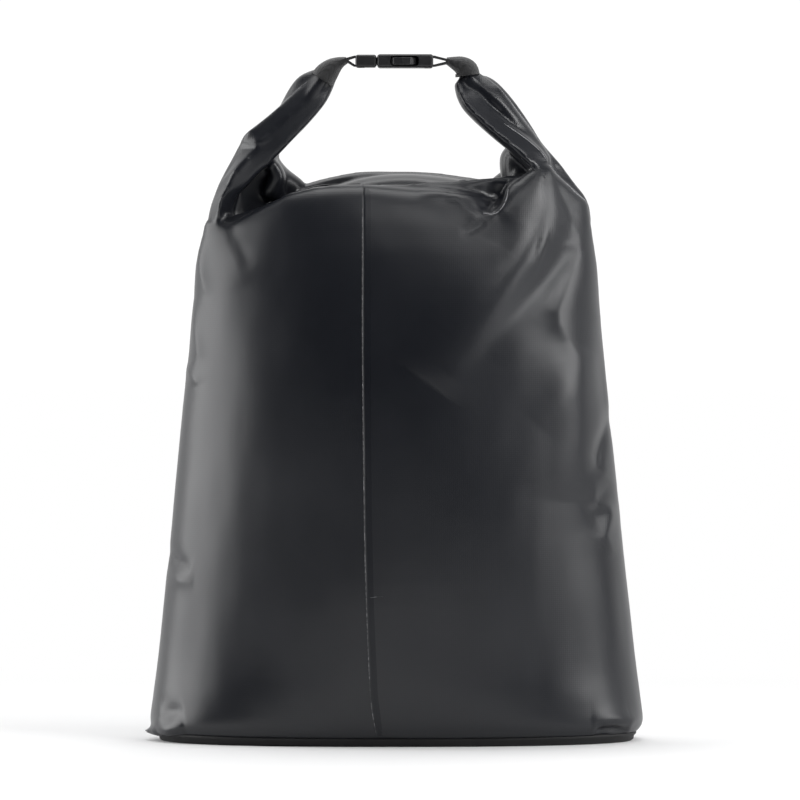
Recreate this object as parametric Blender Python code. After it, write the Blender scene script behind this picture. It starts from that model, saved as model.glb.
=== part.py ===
"""Roll-top dry bag: a welded tarpaulin sack whose rolled mouth is bent up into a carry loop and clipped.

Metres, +Z up. X runs along the bag's width, Y from its seamed side (-Y) to its plain side (+Y).
The origin is the middle of the flat base, on the surface that the bag stands on.
"""

import math

import bmesh
import bpy
from mathutils import Vector

# ---- driving dimensions -------------------------------------------------------------------
SHEET = 0.0012                # body sheet and base panel
GAP = 0.0003                  # between touching pieces
BODY_FOOT_Z = 0.006           # lower edge of the body sheet, above the floor
SHOULDER_Z = 0.4335           # level where the arms leave the body
RING_POINTS = 36

LAP_LEFT_X = -0.0275          # welded lap of the body sheet: where its cut edge lies
LAP_WIDTH = 0.0140
LAP_RISE = 0.0009
LAP_STEP = 0.0004             # width of the step at each side of the lap

BASE_CORNER = 0.006           # how far the base panel's edge curls up from the floor
BASE_FLANGE_TOP = 0.024       # top of the base panel's welded flange, inside the body sheet

ROLL_LAYER = 0.0012           # two sheets together, pressed flat in the roll
ROLL_PITCH = 0.00155          # from one layer of the roll to the next
ROLL_TURNS = 2.25
ROLL_CORE = 0.0030            # inner radius at the roll's two edges
ROLL_HALF_FLAT = 0.0110       # half the flat stretch between those edges
ROLL_POINTS_PER_TURN = 8
STIFFENER_WIDTH = 0.020
STIFFENER_THICK = 0.0014
STIFFENER_SHORT = 3           # stations by which it stops short of the roll's tips

WEB_WIDTH = 0.025             # buckle webbing
WEB_THICK = 0.0016

BUCKLE_Z = 0.5460             # middle of the buckle
BUCKLE_WIDTH = 0.034
BUCKLE_THICK = 0.0110
BUCKLE_WALL = 0.0018
PLUG_LEFT_X = -0.0330         # outer end of the plug's webbing bar
BUCKLE_SPLIT_X = -0.0155      # where plug and socket meet
SOCKET_RIGHT_X = 0.0295
BAR_LENGTH = 0.0032           # webbing bar, along X
BAR_THICK = 0.0046
SLOT_LENGTH = 0.0040          # webbing slot, along X
WINDOW_LEFT_X = -0.0050       # side windows of the socket
WINDOW_RIGHT_X = 0.0180
WINDOW_HEIGHT = 0.0082
PRONG_ROOT_X = -0.0185        # the pivot that stands for the bending of the prong's blade
PRONG_ROOT_Y = 0.0100
PRONG_HEEL = 0.0025           # blade behind the pivot, inside the plug
PRONG_HEIGHT = 0.0062
GUIDE_END_X = 0.0120

# Body sheet from the floor up: height, half width, front Y, back Y, squareness of the outline.
BODY_SECTIONS = [
    (BODY_FOOT_Z, 0.1945, -0.0900, 0.0900, 6.0),
    (0.020, 0.1985, -0.0960, 0.0960, 5.0),
    (0.060, 0.1940, -0.1020, 0.1025, 4.2),
    (0.120, 0.1875, -0.1055, 0.1060, 3.6),
    (0.200, 0.1790, -0.1045, 0.1040, 3.2),
    (0.280, 0.1705, -0.0995, 0.0950, 2.9),
    (0.340, 0.1645, -0.0900, 0.0800, 2.7),
    (0.380, 0.1605, -0.0780, 0.0600, 2.6),
    (0.405, 0.1570, -0.0660, 0.0400, 2.5),
    (0.418, 0.1540, -0.0570, 0.0240, 2.4),
    (0.427, 0.1505, -0.0490, 0.0200, 2.4),
    (0.4315, 0.1440, -0.0440, 0.0180, 2.4),
    (0.4325, 0.0930, -0.0390, 0.0160, 2.4),
    (0.4400, 0.0920, -0.0310, 0.0130, 2.4),
    (0.4450, 0.0850, -0.0200, 0.0070, 2.6),
    (0.4475, 0.0800, -0.0090, 0.0010, 3.0),
    (0.4480, 0.0780, -0.0060, -0.0010, 4.0),
]

# Middle line of the roll from the bag's centre to the left tip, and how far its width has
# turned there from upright (0) to lying across the bag (90).
ROLL_ROUTE = [
    ((0.0000, 0.0380, 0.4375), 0),
    ((-0.0450, 0.0400, 0.4375), 25),
    ((-0.0780, 0.0400, 0.4390), 60),
    ((-0.0950, 0.0350, 0.4475), 82),
    ((-0.1010, 0.0280, 0.4630), 90),
    ((-0.0985, 0.0200, 0.4790), 90),
    ((-0.0900, 0.0130, 0.4935), 90),
    ((-0.0780, 0.0065, 0.5080), 90),
    ((-0.0690, 0.0030, 0.5190), 90),
    ((-0.0600, 0.0010, 0.5290), 90),
]
ROLL_JOINT = 2                # index in ROLL_ROUTE where the arm's roll takes over
STATIONS_PER_SPAN = 3

# Gathered fabric of an arm: level, outer X, inner X, front Y, back Y (left arm).
ARM_SECTIONS = [
    (SHOULDER_Z, -0.1460, -0.0960, -0.0330, 0.0140),
    (0.4440, -0.1430, -0.0970, -0.0320, 0.0150),
    (0.4570, -0.1370, -0.0990, -0.0290, 0.0150),
    (0.4700, -0.1300, -0.1010, -0.0260, 0.0140),
    (0.4820, -0.1220, -0.0960, -0.0230, 0.0120),
    (0.4950, -0.1090, -0.0860, -0.0200, 0.0090),
    (0.5080, -0.0950, -0.0770, -0.0180, 0.0060),
    (0.5180, -0.0840, -0.0690, -0.0160, 0.0040),
]

COAL = (0.022, 0.024, 0.028)
JET = (0.010, 0.010, 0.011)
MATERIALS = {
    "tarpaulin": (COAL, 0.38, 0.0),
    "stiffener_plastic": ((0.05, 0.05, 0.05), 0.5, 0.0),
    "webbing": (JET, 0.85, 0.0),
    "thread": ((0.02, 0.02, 0.02), 0.8, 0.0),
    "buckle_plastic": (JET, 0.35, 0.0),
}


# ---- helpers ------------------------------------------------------------------------------
def material(name):
    """The Principled material of this name, made once."""
    found = bpy.data.materials.get(name)
    if found:
        return found
    colour, roughness, metallic = MATERIALS[name]
    made = bpy.data.materials.new(name)
    made.use_nodes = True
    shader = made.node_tree.nodes["Principled BSDF"]
    shader.inputs["Base Color"].default_value = (*colour, 1.0)
    shader.inputs["Roughness"].default_value = roughness
    shader.inputs["Metallic"].default_value = metallic
    return made


def add_object(name, bm, material_name, origin=(0, 0, 0), parent=None):
    """Puts the bmesh into the scene as a smooth-shaded object whose origin is at the given point."""
    bmesh.ops.recalc_face_normals(bm, faces=bm.faces)
    bmesh.ops.translate(bm, vec=-Vector(origin), verts=bm.verts)
    mesh = bpy.data.meshes.new(name)
    bm.to_mesh(mesh)
    bm.free()
    mesh.shade_smooth()
    mesh.set_sharp_from_angle(angle=math.radians(35))
    obj = bpy.data.objects.new(name, mesh)
    bpy.context.scene.collection.objects.link(obj)
    mesh.materials.append(material(material_name))
    obj.location = Vector(origin)
    if parent:
        obj.parent = parent
        obj.location = Vector(origin) - parent.location
    return obj


def add_empty(name, origin, parent=None):
    """An empty that marks a moving body's joint."""
    empty = bpy.data.objects.new(name, None)
    bpy.context.scene.collection.objects.link(empty)
    empty.location = Vector(origin)
    if parent:
        empty.parent = parent
        empty.location = Vector(origin) - parent.location
    return empty


def skin(bm, rings, closed_loop=False):
    """Quads between consecutive rings of equal length. With closed_loop the last ring meets the first."""
    count = len(rings[0])
    last = len(rings) if closed_loop else len(rings) - 1
    for i in range(last):
        lower, upper = rings[i], rings[(i + 1) % len(rings)]
        for k in range(count):
            after = (k + 1) % count
            bm.faces.new((lower[k], lower[after], upper[after], upper[k]))


def skin_twisted(bm, rings):
    """Triangles between consecutive rings, for a layer that twists as it goes. The second half of each ring
    runs back along the first, and its diagonals lean the same way in space, so the layer keeps its thickness."""
    count = len(rings[0])
    for lower, upper in zip(rings, rings[1:]):
        for k in range(count):
            a, b = lower[k], lower[(k + 1) % count]
            c, d = upper[(k + 1) % count], upper[k]
            halves = ((a, b, c), (a, c, d)) if k < count // 2 else ((a, b, d), (b, c, d))
            for corners in halves:
                bm.faces.new(corners)


def verts_of(bm, points):
    return [bm.verts.new(p) for p in points]


def outline_points(half_x, front_y, back_y, squareness, z, lap_rise=0.0):
    """A rounded outline at one level. The lap of the sheet is a low step on its front."""
    middle_y = (front_y + back_y) / 2
    half_y = (back_y - front_y) / 2

    def at(angle):
        c, s = math.cos(angle), math.sin(angle)
        power = 2 / squareness
        x = half_x * math.copysign(abs(c) ** power, c)
        y = middle_y + half_y * math.copysign(abs(s) ** power, s)
        return x, y

    def front_angle(x):
        share = max(-1.0, min(1.0, x / half_x))
        return -math.acos(math.copysign(abs(share) ** (squareness / 2), share))

    lap_edges = [
        (LAP_LEFT_X - LAP_STEP, 0.0),
        (LAP_LEFT_X, lap_rise),
        (LAP_LEFT_X + LAP_WIDTH, lap_rise),
        (LAP_LEFT_X + LAP_WIDTH + LAP_STEP, 0.0),
    ]
    low, high = front_angle(lap_edges[0][0]), front_angle(lap_edges[-1][0])
    found = []
    half = RING_POINTS // 2
    left_front = [-math.pi + (low + math.pi) * i / (half // 2) for i in range(half // 2)]
    right_front = [high + (0 - high) * (i + 1) / (half // 2) for i in range(half // 2)]
    back = [math.pi * (i + 1) / (half + 1) for i in range(half)]
    for angle in left_front:
        found.append((*at(angle), z))
    for x, rise in lap_edges:
        px, py = at(front_angle(x))
        found.append((px, py - rise, z))
    for angle in right_front + back:
        found.append((*at(angle), z))
    return found


def route(points, per_span):
    """Points of a Catmull-Rom curve through the given vectors, with per_span steps between two of them."""
    padded = [2 * points[0] - points[1], *points, 2 * points[-1] - points[-2]]
    found = []
    for i in range(1, len(padded) - 2):
        a, b, c, d = padded[i - 1 : i + 3]
        for step in range(per_span):
            t = step / per_span
            found.append(
                0.5 * (2 * b + (c - a) * t + (2 * a - 5 * b + 4 * c - d) * t**2 + (3 * b - a - 3 * c + d) * t**3)
            )
    return [*found, points[-1].copy()]


def roll_stations():
    """(point, tangent, width direction, thickness direction) from the left tip to the right tip."""
    half = [Vector(p) for p, _ in ROLL_ROUTE]
    turns = [Vector((t, 0, 0)) for _, t in ROLL_ROUTE]
    mirrored = [Vector((-p.x, p.y, p.z)) for p in half]
    points = route(list(reversed(half)) + mirrored[1:], STATIONS_PER_SPAN)
    twists = [t.x for t in route(list(reversed(turns)) + turns[1:], STATIONS_PER_SPAN)]
    found = []
    for i, point in enumerate(points):
        ahead = points[min(i + 1, len(points) - 1)]
        behind = points[max(i - 1, 0)]
        tangent = (ahead - behind).normalized()
        angle = math.radians(twists[i])
        guess = Vector((0, math.sin(angle), math.cos(angle)))
        width = (guess - tangent * guess.dot(tangent)).normalized()
        found.append((point, tangent, width, tangent.cross(width)))
    return found


def stretch(first, last):
    """The stations from first to last, drawn in by half a gap at both ends."""
    found = roll_stations()[first : last + 1]
    head, tail = found[0], found[-1]
    found[0] = (head[0] + head[1] * GAP / 2, *head[1:])
    found[-1] = (tail[0] - tail[1] * GAP / 2, *tail[1:])
    return found


def stadium(angle, radius):
    """A point of a flattened circle: across the roll's width, and through its thickness."""
    side = ROLL_HALF_FLAT * math.copysign(1, math.cos(angle))
    return side + radius * math.cos(angle), radius * math.sin(angle)


def spiral_section():
    """Pairs (outer, inner) of points along the rolled sheet, from its core to its outside."""
    steps = round(ROLL_TURNS * ROLL_POINTS_PER_TURN)
    found = []
    for k in range(steps + 1):
        angle = 2 * math.pi * k / ROLL_POINTS_PER_TURN
        radius = ROLL_CORE + ROLL_PITCH * k / ROLL_POINTS_PER_TURN
        crossing = k % (ROLL_POINTS_PER_TURN // 2) == ROLL_POINTS_PER_TURN // 4
        nudges = (-1e-6, 1e-6) if crossing else (0.0,)
        for nudge in nudges:
            found.append((stadium(angle + nudge, radius + ROLL_LAYER), stadium(angle + nudge, radius)))
    return found


def placed(station, across, through):
    point, _, width, thickness = station
    return point + width * across + thickness * through


# ---- soft pieces --------------------------------------------------------------------------
def make_body_sheet():
    """One sheet wrapped into a tube and lap-welded. It is open below, and narrows to the mouth's slit above."""
    bm = bmesh.new()
    outer, inner = [], []
    for z, half_x, front_y, back_y, squareness in BODY_SECTIONS:
        outer.append(outline_points(half_x, front_y, back_y, squareness, z, LAP_RISE))
        drop = SHEET if z > 0.43 else 0.0
        inner.append(
            outline_points(half_x - SHEET, front_y + SHEET, back_y - SHEET, squareness, z - drop)
        )
    rings = [verts_of(bm, ring) for ring in outer + inner[::-1]]
    skin(bm, rings, closed_loop=True)
    return add_object("body_sheet", bm, "tarpaulin")


def make_base_panel():
    """A tray: the flat base, a rolled edge, and the flange that is welded inside the body sheet."""
    _, half_x, front_y, back_y, squareness = BODY_SECTIONS[0]
    inset = SHEET + GAP
    levels = [(BASE_FLANGE_TOP, 0.0), (BODY_FOOT_Z, 0.0)]
    for k in range(1, 4):
        angle = math.radians(30 * k)
        levels.append((BASE_CORNER * (1 - math.sin(angle)), BASE_CORNER * (1 - math.cos(angle))))

    def ring(z, pull):
        return outline_points(half_x - pull, front_y + pull, back_y - pull, squareness, z)

    bm = bmesh.new()
    outside = [ring(z, inset + pull) for z, pull in levels]
    inside = [ring(max(z, SHEET), inset + SHEET + pull) for z, pull in levels[:-1]]
    inside.append(ring(SHEET, inset + BASE_CORNER + SHEET))
    rings = [verts_of(bm, points) for points in inside[::-1] + outside]
    skin(bm, rings)
    bm.faces.new(rings[0])
    bm.faces.new(rings[-1])
    return add_object("base_panel", bm, "tarpaulin")


def make_roll(name, first, last, parent=None, origin=(0, 0, 0)):
    """A stretch of the rolled mouth: the flattened spiral, swept from station first to station last."""
    stations = stretch(first, last)
    section = spiral_section()
    bm = bmesh.new()
    rows = []
    for station in stations:
        outer = verts_of(bm, [placed(station, *pair[0]) for pair in section])
        inner = verts_of(bm, [placed(station, *pair[1]) for pair in section])
        rows.append(outer + inner[::-1])
    skin_twisted(bm, rows)
    pairs = len(section)
    for row in (rows[0], rows[-1]):
        for k in range(pairs - 1):
            bm.faces.new((row[k], row[k + 1], row[2 * pairs - 2 - k], row[2 * pairs - 1 - k]))
    return add_object(name, bm, "tarpaulin", origin, parent)


def make_roll_cutter(name, first, last):
    """A plain flattened tube, a gap larger than the roll all round, that clears the arm's fabric."""
    stations = roll_stations()[first : last + 1]
    head, tail = stations[0], stations[-1]
    reach = 0.02
    stations = [(head[0] - head[1] * reach, *head[1:]), *stations, (tail[0] + tail[1] * reach, *tail[1:])]
    radius = ROLL_CORE + ROLL_PITCH * ROLL_TURNS + ROLL_LAYER + 2 * GAP
    bm = bmesh.new()
    rings = []
    for station in stations:
        angles = [math.radians(15 + 30 * k) for k in range(12)]
        rings.append(verts_of(bm, [placed(station, *stadium(a, radius)) for a in angles]))
    skin(bm, rings)
    bm.faces.new(rings[0])
    bm.faces.new(rings[-1])
    cutter = add_object(name, bm, "tarpaulin")
    cutter.hide_render = True
    cutter.display_type = "WIRE"
    return cutter


def make_arm_fabric(name, side, cutter, parent, origin):
    """The body sheet's corner, gathered round the front and outside of the roll."""
    bm = bmesh.new()
    rings = []
    for z, outer_x, inner_x, front_y, back_y in ARM_SECTIONS:
        middle_x, half_x = (outer_x + inner_x) / 2, (inner_x - outer_x) / 2
        middle_y, half_y = (front_y + back_y) / 2, (back_y - front_y) / 2
        ring = []
        for k in range(16):
            angle = 2 * math.pi * k / 16
            c, s = math.cos(angle), math.sin(angle)
            x = middle_x + half_x * math.copysign(abs(c) ** 0.75, c)
            y = middle_y + half_y * math.copysign(abs(s) ** 0.75, s)
            ring.append((-side * x, y, z))
        rings.append(verts_of(bm, ring))
    skin(bm, rings)
    bm.faces.new(rings[0])
    bm.faces.new(rings[-1])
    obj = add_object(name, bm, "tarpaulin", origin, parent)
    cut = obj.modifiers.new("roll_clearance", "BOOLEAN")
    cut.operation = "DIFFERENCE"
    cut.solver = "EXACT"
    cut.object = cutter
    return obj


def make_stiffener(name, first, last, parent=None, origin=(0, 0, 0)):
    """A stretch of the flat plastic strip in the mouth's hem, which bends up with the roll."""
    bm = bmesh.new()
    half_w, half_t = STIFFENER_WIDTH / 2, STIFFENER_THICK / 2
    corners = ((-half_w, -half_t), (half_w, -half_t), (half_w, half_t), (-half_w, half_t))
    rings = [verts_of(bm, [placed(s, *corner) for corner in corners]) for s in stretch(first, last)]
    skin_twisted(bm, rings)
    bm.faces.new(rings[0])
    bm.faces.new(rings[-1])
    return add_object(name, bm, "stiffener_plastic", origin, parent)


def make_strap(name, hole, tail, parent, origin):
    """Webbing looped round a buckle's bar and sewn flat to itself. hole is the inside of the loop, from
    its apex over the bar and back, and tail the middle line of the sewn double layer, both as (x, z)."""

    def offset(points, i, outward):
        before, after = Vector(points[max(i - 1, 0)]), Vector(points[min(i + 1, len(points) - 1)])
        along = (after - before).normalized()
        normal = Vector((-along.y, along.x))
        if normal.dot(outward) < 0:
            normal.negate()
        return Vector(points[i]) + normal * WEB_THICK

    centre = sum((Vector(p) for p in hole), Vector((0, 0))) / len(hole)
    closed = [*hole, hole[0]]
    rim = [offset(closed, i, Vector(closed[i]) - centre) for i in range(1, len(hole))]
    over = [offset(tail, i, Vector((0, 1))) for i in range(len(tail))]
    under = [offset(tail, i, Vector((0, -1))) for i in range(len(tail))]

    bm = bmesh.new()

    def row(points):
        return [bm.verts.new((p[0], -WEB_WIDTH / 2, p[1])) for p in points]

    inside, outside, top, bottom = row(hole), row(rim), row(over), row(under)
    faces = [
        bm.faces.new((inside[0], inside[1], outside[0], top[0])),
        bm.faces.new((inside[0], bottom[0], outside[-1], inside[-1])),
        bm.faces.new((inside[0], top[0], bottom[0])),
    ]
    for i in range(1, len(hole) - 1):
        faces.append(bm.faces.new((inside[i], inside[i + 1], outside[i], outside[i - 1])))
    for i in range(len(tail) - 1):
        faces.append(bm.faces.new((top[i], top[i + 1], bottom[i + 1], bottom[i])))
    pushed = bmesh.ops.extrude_face_region(bm, geom=faces, use_keep_orig=True)
    moved = [v for v in pushed["geom"] if isinstance(v, bmesh.types.BMVert)]
    bmesh.ops.translate(bm, verts=moved, vec=(0, WEB_WIDTH, 0))
    return add_object(name, bm, "webbing", origin, parent)


def make_bartack(name, at, slope, parent):
    """A dense bar of stitching across the sewn webbing, standing a little proud of it."""
    length, width, rise = 0.0200, 0.0024, 0.0007
    direction = Vector((math.cos(slope), 0, math.sin(slope)))
    normal = Vector((-math.sin(slope), 0, math.cos(slope)))
    lift = WEB_THICK + GAP + rise / 2
    centre = Vector((at[0], 0, at[1])) + normal * lift
    bm = bmesh.new()
    bmesh.ops.create_cube(bm, size=1.0)
    for v in bm.verts:
        taper = 0.85 if v.co.z > 0 else 1.0
        v.co = (
            centre
            + direction * (v.co.x * width * taper)
            + normal * (v.co.z * rise)
            + Vector((0, v.co.y * length * (0.97 if v.co.z > 0 else 1.0), 0))
        )
    return add_object(name, bm, "thread", centre, parent)


# ---- buckle -------------------------------------------------------------------------------
def block(low, high, bevel=0.0, segments=2, edges="all"):
    """A box between two corners as a bmesh, with its edges rounded. edges is all, or the axis they run along."""
    bm = bmesh.new()
    bmesh.ops.create_cube(bm, size=1.0)
    low, high = Vector(low), Vector(high)
    for v in bm.verts:
        share = v.co + Vector((0.5, 0.5, 0.5))
        v.co = Vector(low[i] + (high[i] - low[i]) * share[i] for i in range(3))
    if bevel:
        axis = {"x": 0, "y": 1, "z": 2}.get(edges)

        def chosen(edge):
            if axis is None:
                return True
            along = edge.verts[1].co - edge.verts[0].co
            return abs(along[axis]) > 0.9 * along.length

        picked = [e for e in bm.edges if chosen(e)]
        bmesh.ops.bevel(bm, geom=picked, offset=bevel, segments=segments, profile=0.5, affect="EDGES")
    return bm


def add_cutter(name, bm):
    cutter = add_object(name, bm, "buckle_plastic")
    cutter.hide_render = True
    cutter.display_type = "WIRE"
    return cutter


def combine(obj, tool, operation):
    modifier = obj.modifiers.new(f"{operation.lower()}_{tool.name}", "BOOLEAN")
    modifier.operation = operation
    modifier.solver = "EXACT"
    modifier.object = tool


def half_ellipse_slot(x_left, x_right, half_y, height):
    """A cutter through Z for webbing, with rounded corners."""
    return block((x_left, -half_y, BUCKLE_Z - height), (x_right, half_y, BUCKLE_Z + height), 0.0012, 2, "z")


def make_socket(parent, origin):
    """The female half: a hollow shell with two side windows, and a webbing bar at its outer end."""
    half_y, half_z = BUCKLE_WIDTH / 2, BUCKLE_THICK / 2
    shell = block(
        (BUCKLE_SPLIT_X, -half_y, BUCKLE_Z - half_z),
        (SOCKET_RIGHT_X, half_y, BUCKLE_Z + half_z),
        0.0022,
        3,
    )
    socket = add_object("buckle_socket", shell, "buckle_plastic", origin, parent)
    cavity_right = WINDOW_RIGHT_X + 0.0006
    cavity = block(
        (BUCKLE_SPLIT_X - 0.01, -half_y + BUCKLE_WALL * 2, BUCKLE_Z - half_z + BUCKLE_WALL),
        (cavity_right, half_y - BUCKLE_WALL * 2, BUCKLE_Z + half_z - BUCKLE_WALL),
        0.0008,
        1,
        "x",
    )
    combine(socket, add_cutter("cutter_cavity", cavity), "DIFFERENCE")
    window = block(
        (WINDOW_LEFT_X, -half_y - 0.01, BUCKLE_Z - WINDOW_HEIGHT / 2),
        (WINDOW_RIGHT_X, half_y + 0.01, BUCKLE_Z + WINDOW_HEIGHT / 2),
        0.0026,
        3,
        "y",
    )
    combine(socket, add_cutter("cutter_window", window), "DIFFERENCE")
    slot_right = SOCKET_RIGHT_X - BAR_LENGTH
    slot = half_ellipse_slot(slot_right - SLOT_LENGTH, slot_right, WEB_WIDTH / 2 + 0.0007, 0.02)
    combine(socket, add_cutter("cutter_socket_slot", slot), "DIFFERENCE")
    for sign in (-1, 1):
        z_edge = BUCKLE_Z + sign * half_z
        z_bar = BUCKLE_Z + sign * BAR_THICK / 2
        relief = block(
            (slot_right - 0.0005, -WEB_WIDTH / 2 - 0.0007, min(z_bar, z_edge + sign * 0.01)),
            (SOCKET_RIGHT_X + 0.01, WEB_WIDTH / 2 + 0.0007, max(z_bar, z_edge + sign * 0.01)),
        )
        combine(socket, add_cutter(f"cutter_socket_relief_{'low' if sign < 0 else 'high'}", relief), "DIFFERENCE")
    return socket


def make_plug(parent, origin):
    """The male half: a frame with the webbing bar, a shoulder that meets the socket, and a middle guide."""
    half_y, half_z = BUCKLE_WIDTH / 2, BUCKLE_THICK / 2
    frame = block(
        (PLUG_LEFT_X, -half_y + 0.0006, BUCKLE_Z - half_z + 0.0004),
        (BUCKLE_SPLIT_X - 2 * GAP, half_y - 0.0006, BUCKLE_Z + half_z - 0.0004),
        0.0020,
        3,
    )
    plug = add_object("buckle_plug", frame, "buckle_plastic", origin, parent)
    slot_left = PLUG_LEFT_X + BAR_LENGTH
    slot = half_ellipse_slot(slot_left, slot_left + SLOT_LENGTH, WEB_WIDTH / 2 + 0.0007, 0.02)
    combine(plug, add_cutter("cutter_plug_slot", slot), "DIFFERENCE")
    for sign in (-1, 1):
        z_bar = BUCKLE_Z + sign * BAR_THICK / 2
        z_far = BUCKLE_Z + sign * 0.02
        relief = block(
            (PLUG_LEFT_X - 0.01, -WEB_WIDTH / 2 - 0.0007, min(z_bar, z_far)),
            (slot_left + 0.0005, WEB_WIDTH / 2 + 0.0007, max(z_bar, z_far)),
        )
        combine(plug, add_cutter(f"cutter_plug_relief_{'low' if sign < 0 else 'high'}", relief), "DIFFERENCE")
    guide = block(
        (BUCKLE_SPLIT_X - 0.004, -0.0024, BUCKLE_Z - 0.0024),
        (GUIDE_END_X, 0.0024, BUCKLE_Z + 0.0024),
        0.0009,
        2,
    )
    combine(plug, add_cutter("tool_guide", guide), "UNION")
    for sign in (-1, 1):
        low_y, high_y = sorted((sign * (PRONG_ROOT_Y - 0.0032), sign * (PRONG_ROOT_Y + 0.0032)))
        pocket = block(
            (PRONG_ROOT_X - PRONG_HEEL - GAP, low_y, BUCKLE_Z - PRONG_HEIGHT / 2 - GAP),
            (BUCKLE_SPLIT_X + 0.01, high_y, BUCKLE_Z + PRONG_HEIGHT / 2 + GAP),
        )
        combine(plug, add_cutter(f"cutter_pocket_{'front' if sign < 0 else 'back'}", pocket), "DIFFERENCE")
    return plug


def make_prong(name, sign, parent, origin):
    """A springy side arm: a thin blade from the plug's shoulder, and the button that fills the window."""
    outline = [
        (PRONG_ROOT_X - PRONG_HEEL, PRONG_ROOT_Y - 0.0020),
        (PRONG_ROOT_X - PRONG_HEEL, PRONG_ROOT_Y + 0.0020),
        (WINDOW_LEFT_X - 0.0012, 0.0124),
        (WINDOW_LEFT_X + 0.0004, 0.0128),
        (WINDOW_LEFT_X + 0.0005, 0.0156),
        (WINDOW_LEFT_X + 0.0030, 0.0173),
        (WINDOW_LEFT_X + 0.0095, 0.0176),
        (WINDOW_LEFT_X + 0.0160, 0.0166),
        (WINDOW_LEFT_X + 0.0205, 0.0140),
        (WINDOW_LEFT_X + 0.0218, 0.0112),
        (WINDOW_LEFT_X + 0.0190, 0.0094),
        (WINDOW_LEFT_X + 0.0060, 0.0102),
        (WINDOW_LEFT_X - 0.0030, 0.0092),
    ]
    bm = bmesh.new()
    verts = [bm.verts.new((x, sign * y, BUCKLE_Z - PRONG_HEIGHT / 2)) for x, y in outline]
    face = bm.faces.new(verts)
    pushed = bmesh.ops.extrude_face_region(bm, geom=[face], use_keep_orig=True)
    moved = [v for v in pushed["geom"] if isinstance(v, bmesh.types.BMVert)]
    bmesh.ops.translate(bm, verts=moved, vec=(0, 0, PRONG_HEIGHT))
    flat_edges = [e for e in bm.edges if abs(e.verts[0].co.z - e.verts[1].co.z) < 1e-6]
    bmesh.ops.bevel(bm, geom=flat_edges, offset=0.0006, segments=2, profile=0.5, affect="EDGES")
    return add_object(name, bm, "buckle_plastic", origin, parent)


# ---- assembly -----------------------------------------------------------------------------
def strap_loop(bar_outer_x, bar_inner_x, apex, direction):
    """The inside of a webbing loop round a bar, as (x, z), from the apex over the bar and back.
    direction is +1 where the buckle lies to the right of the webbing."""
    clear = 0.0005
    half = BAR_THICK / 2 + clear
    far = bar_inner_x + direction * clear
    return [
        apex,
        (bar_outer_x - direction * clear, BUCKLE_Z + half),
        (bar_inner_x + direction * clear * 0.2, BUCKLE_Z + half),
        (far, BUCKLE_Z + half * 0.8),
        (far, BUCKLE_Z - half * 0.8),
        (bar_inner_x + direction * clear * 0.2, BUCKLE_Z - half),
        (bar_outer_x - direction * clear, BUCKLE_Z - half),
    ]


def main():
    for old in list(bpy.data.objects):
        bpy.data.objects.remove(old, do_unlink=True)

    left_origin = (PLUG_LEFT_X, 0.0, BUCKLE_Z)
    right_origin = (SOCKET_RIGHT_X, 0.0, BUCKLE_Z)
    left_arm = add_empty("left_arm_slide", left_origin)
    right_arm = add_empty("right_arm_slide", right_origin)

    make_body_sheet()
    make_base_panel()

    stations = len(roll_stations())
    left_end = (len(ROLL_ROUTE) - 1 - ROLL_JOINT) * STATIONS_PER_SPAN
    right_start = stations - 1 - left_end
    make_roll("roll_centre", left_end, right_start)
    make_stiffener("mouth_stiffener", left_end, right_start)
    make_stiffener("left_stiffener_end", STIFFENER_SHORT, left_end, left_arm, left_origin)
    right_last = stations - 1 - STIFFENER_SHORT
    make_stiffener("right_stiffener_end", right_start, right_last, right_arm, right_origin)
    make_roll("left_arm_roll", 0, left_end, left_arm, left_origin)
    make_roll("right_arm_roll", right_start, stations - 1, right_arm, right_origin)
    left_cutter = make_roll_cutter("cutter_left_roll", 0, left_end)
    right_cutter = make_roll_cutter("cutter_right_roll", right_start, stations - 1)
    make_arm_fabric("left_arm_fabric", -1, left_cutter, left_arm, left_origin)
    make_arm_fabric("right_arm_fabric", 1, right_cutter, right_arm, right_origin)

    left_hole = strap_loop(PLUG_LEFT_X, PLUG_LEFT_X + BAR_LENGTH, (-0.0390, 0.5470), 1)
    left_tail = [(-0.0410, 0.5468), (-0.0490, 0.5425), (-0.0560, 0.5350), (-0.0640, 0.5250)]
    make_strap("left_strap", left_hole, left_tail, left_arm, left_origin)
    right_hole = strap_loop(SOCKET_RIGHT_X, SOCKET_RIGHT_X - BAR_LENGTH, (0.0415, 0.5460), -1)
    right_tail = [(0.0435, 0.5455), (0.0520, 0.5400), (0.0575, 0.5335), (0.0640, 0.5250)]
    make_strap("right_strap", right_hole, right_tail, right_arm, right_origin)
    make_bartack("left_bartack", (-0.0450, 0.54465), math.radians(28.3), left_arm)
    make_bartack("right_bartack", (0.04775, 0.54275), math.radians(-32.9), right_arm)

    make_plug(left_arm, left_origin)
    make_socket(right_arm, right_origin)
    for name, sign in (("front_prong", -1), ("back_prong", 1)):
        pivot_point = (PRONG_ROOT_X, sign * PRONG_ROOT_Y, BUCKLE_Z)
        pivot = add_empty(f"{name}_pivot", pivot_point, left_arm)
        bpy.context.view_layer.update()
        prong = make_prong(name, sign, None, pivot_point)
        prong.parent = pivot
        prong.location = (0, 0, 0)


main()
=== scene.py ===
"""A roll-top dry bag of black tarpaulin, standing on a pale floor in soft studio light."""

import math

import bmesh
import bpy
import numpy as np
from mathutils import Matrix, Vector, noise
from mathutils.bvhtree import BVHTree


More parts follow.
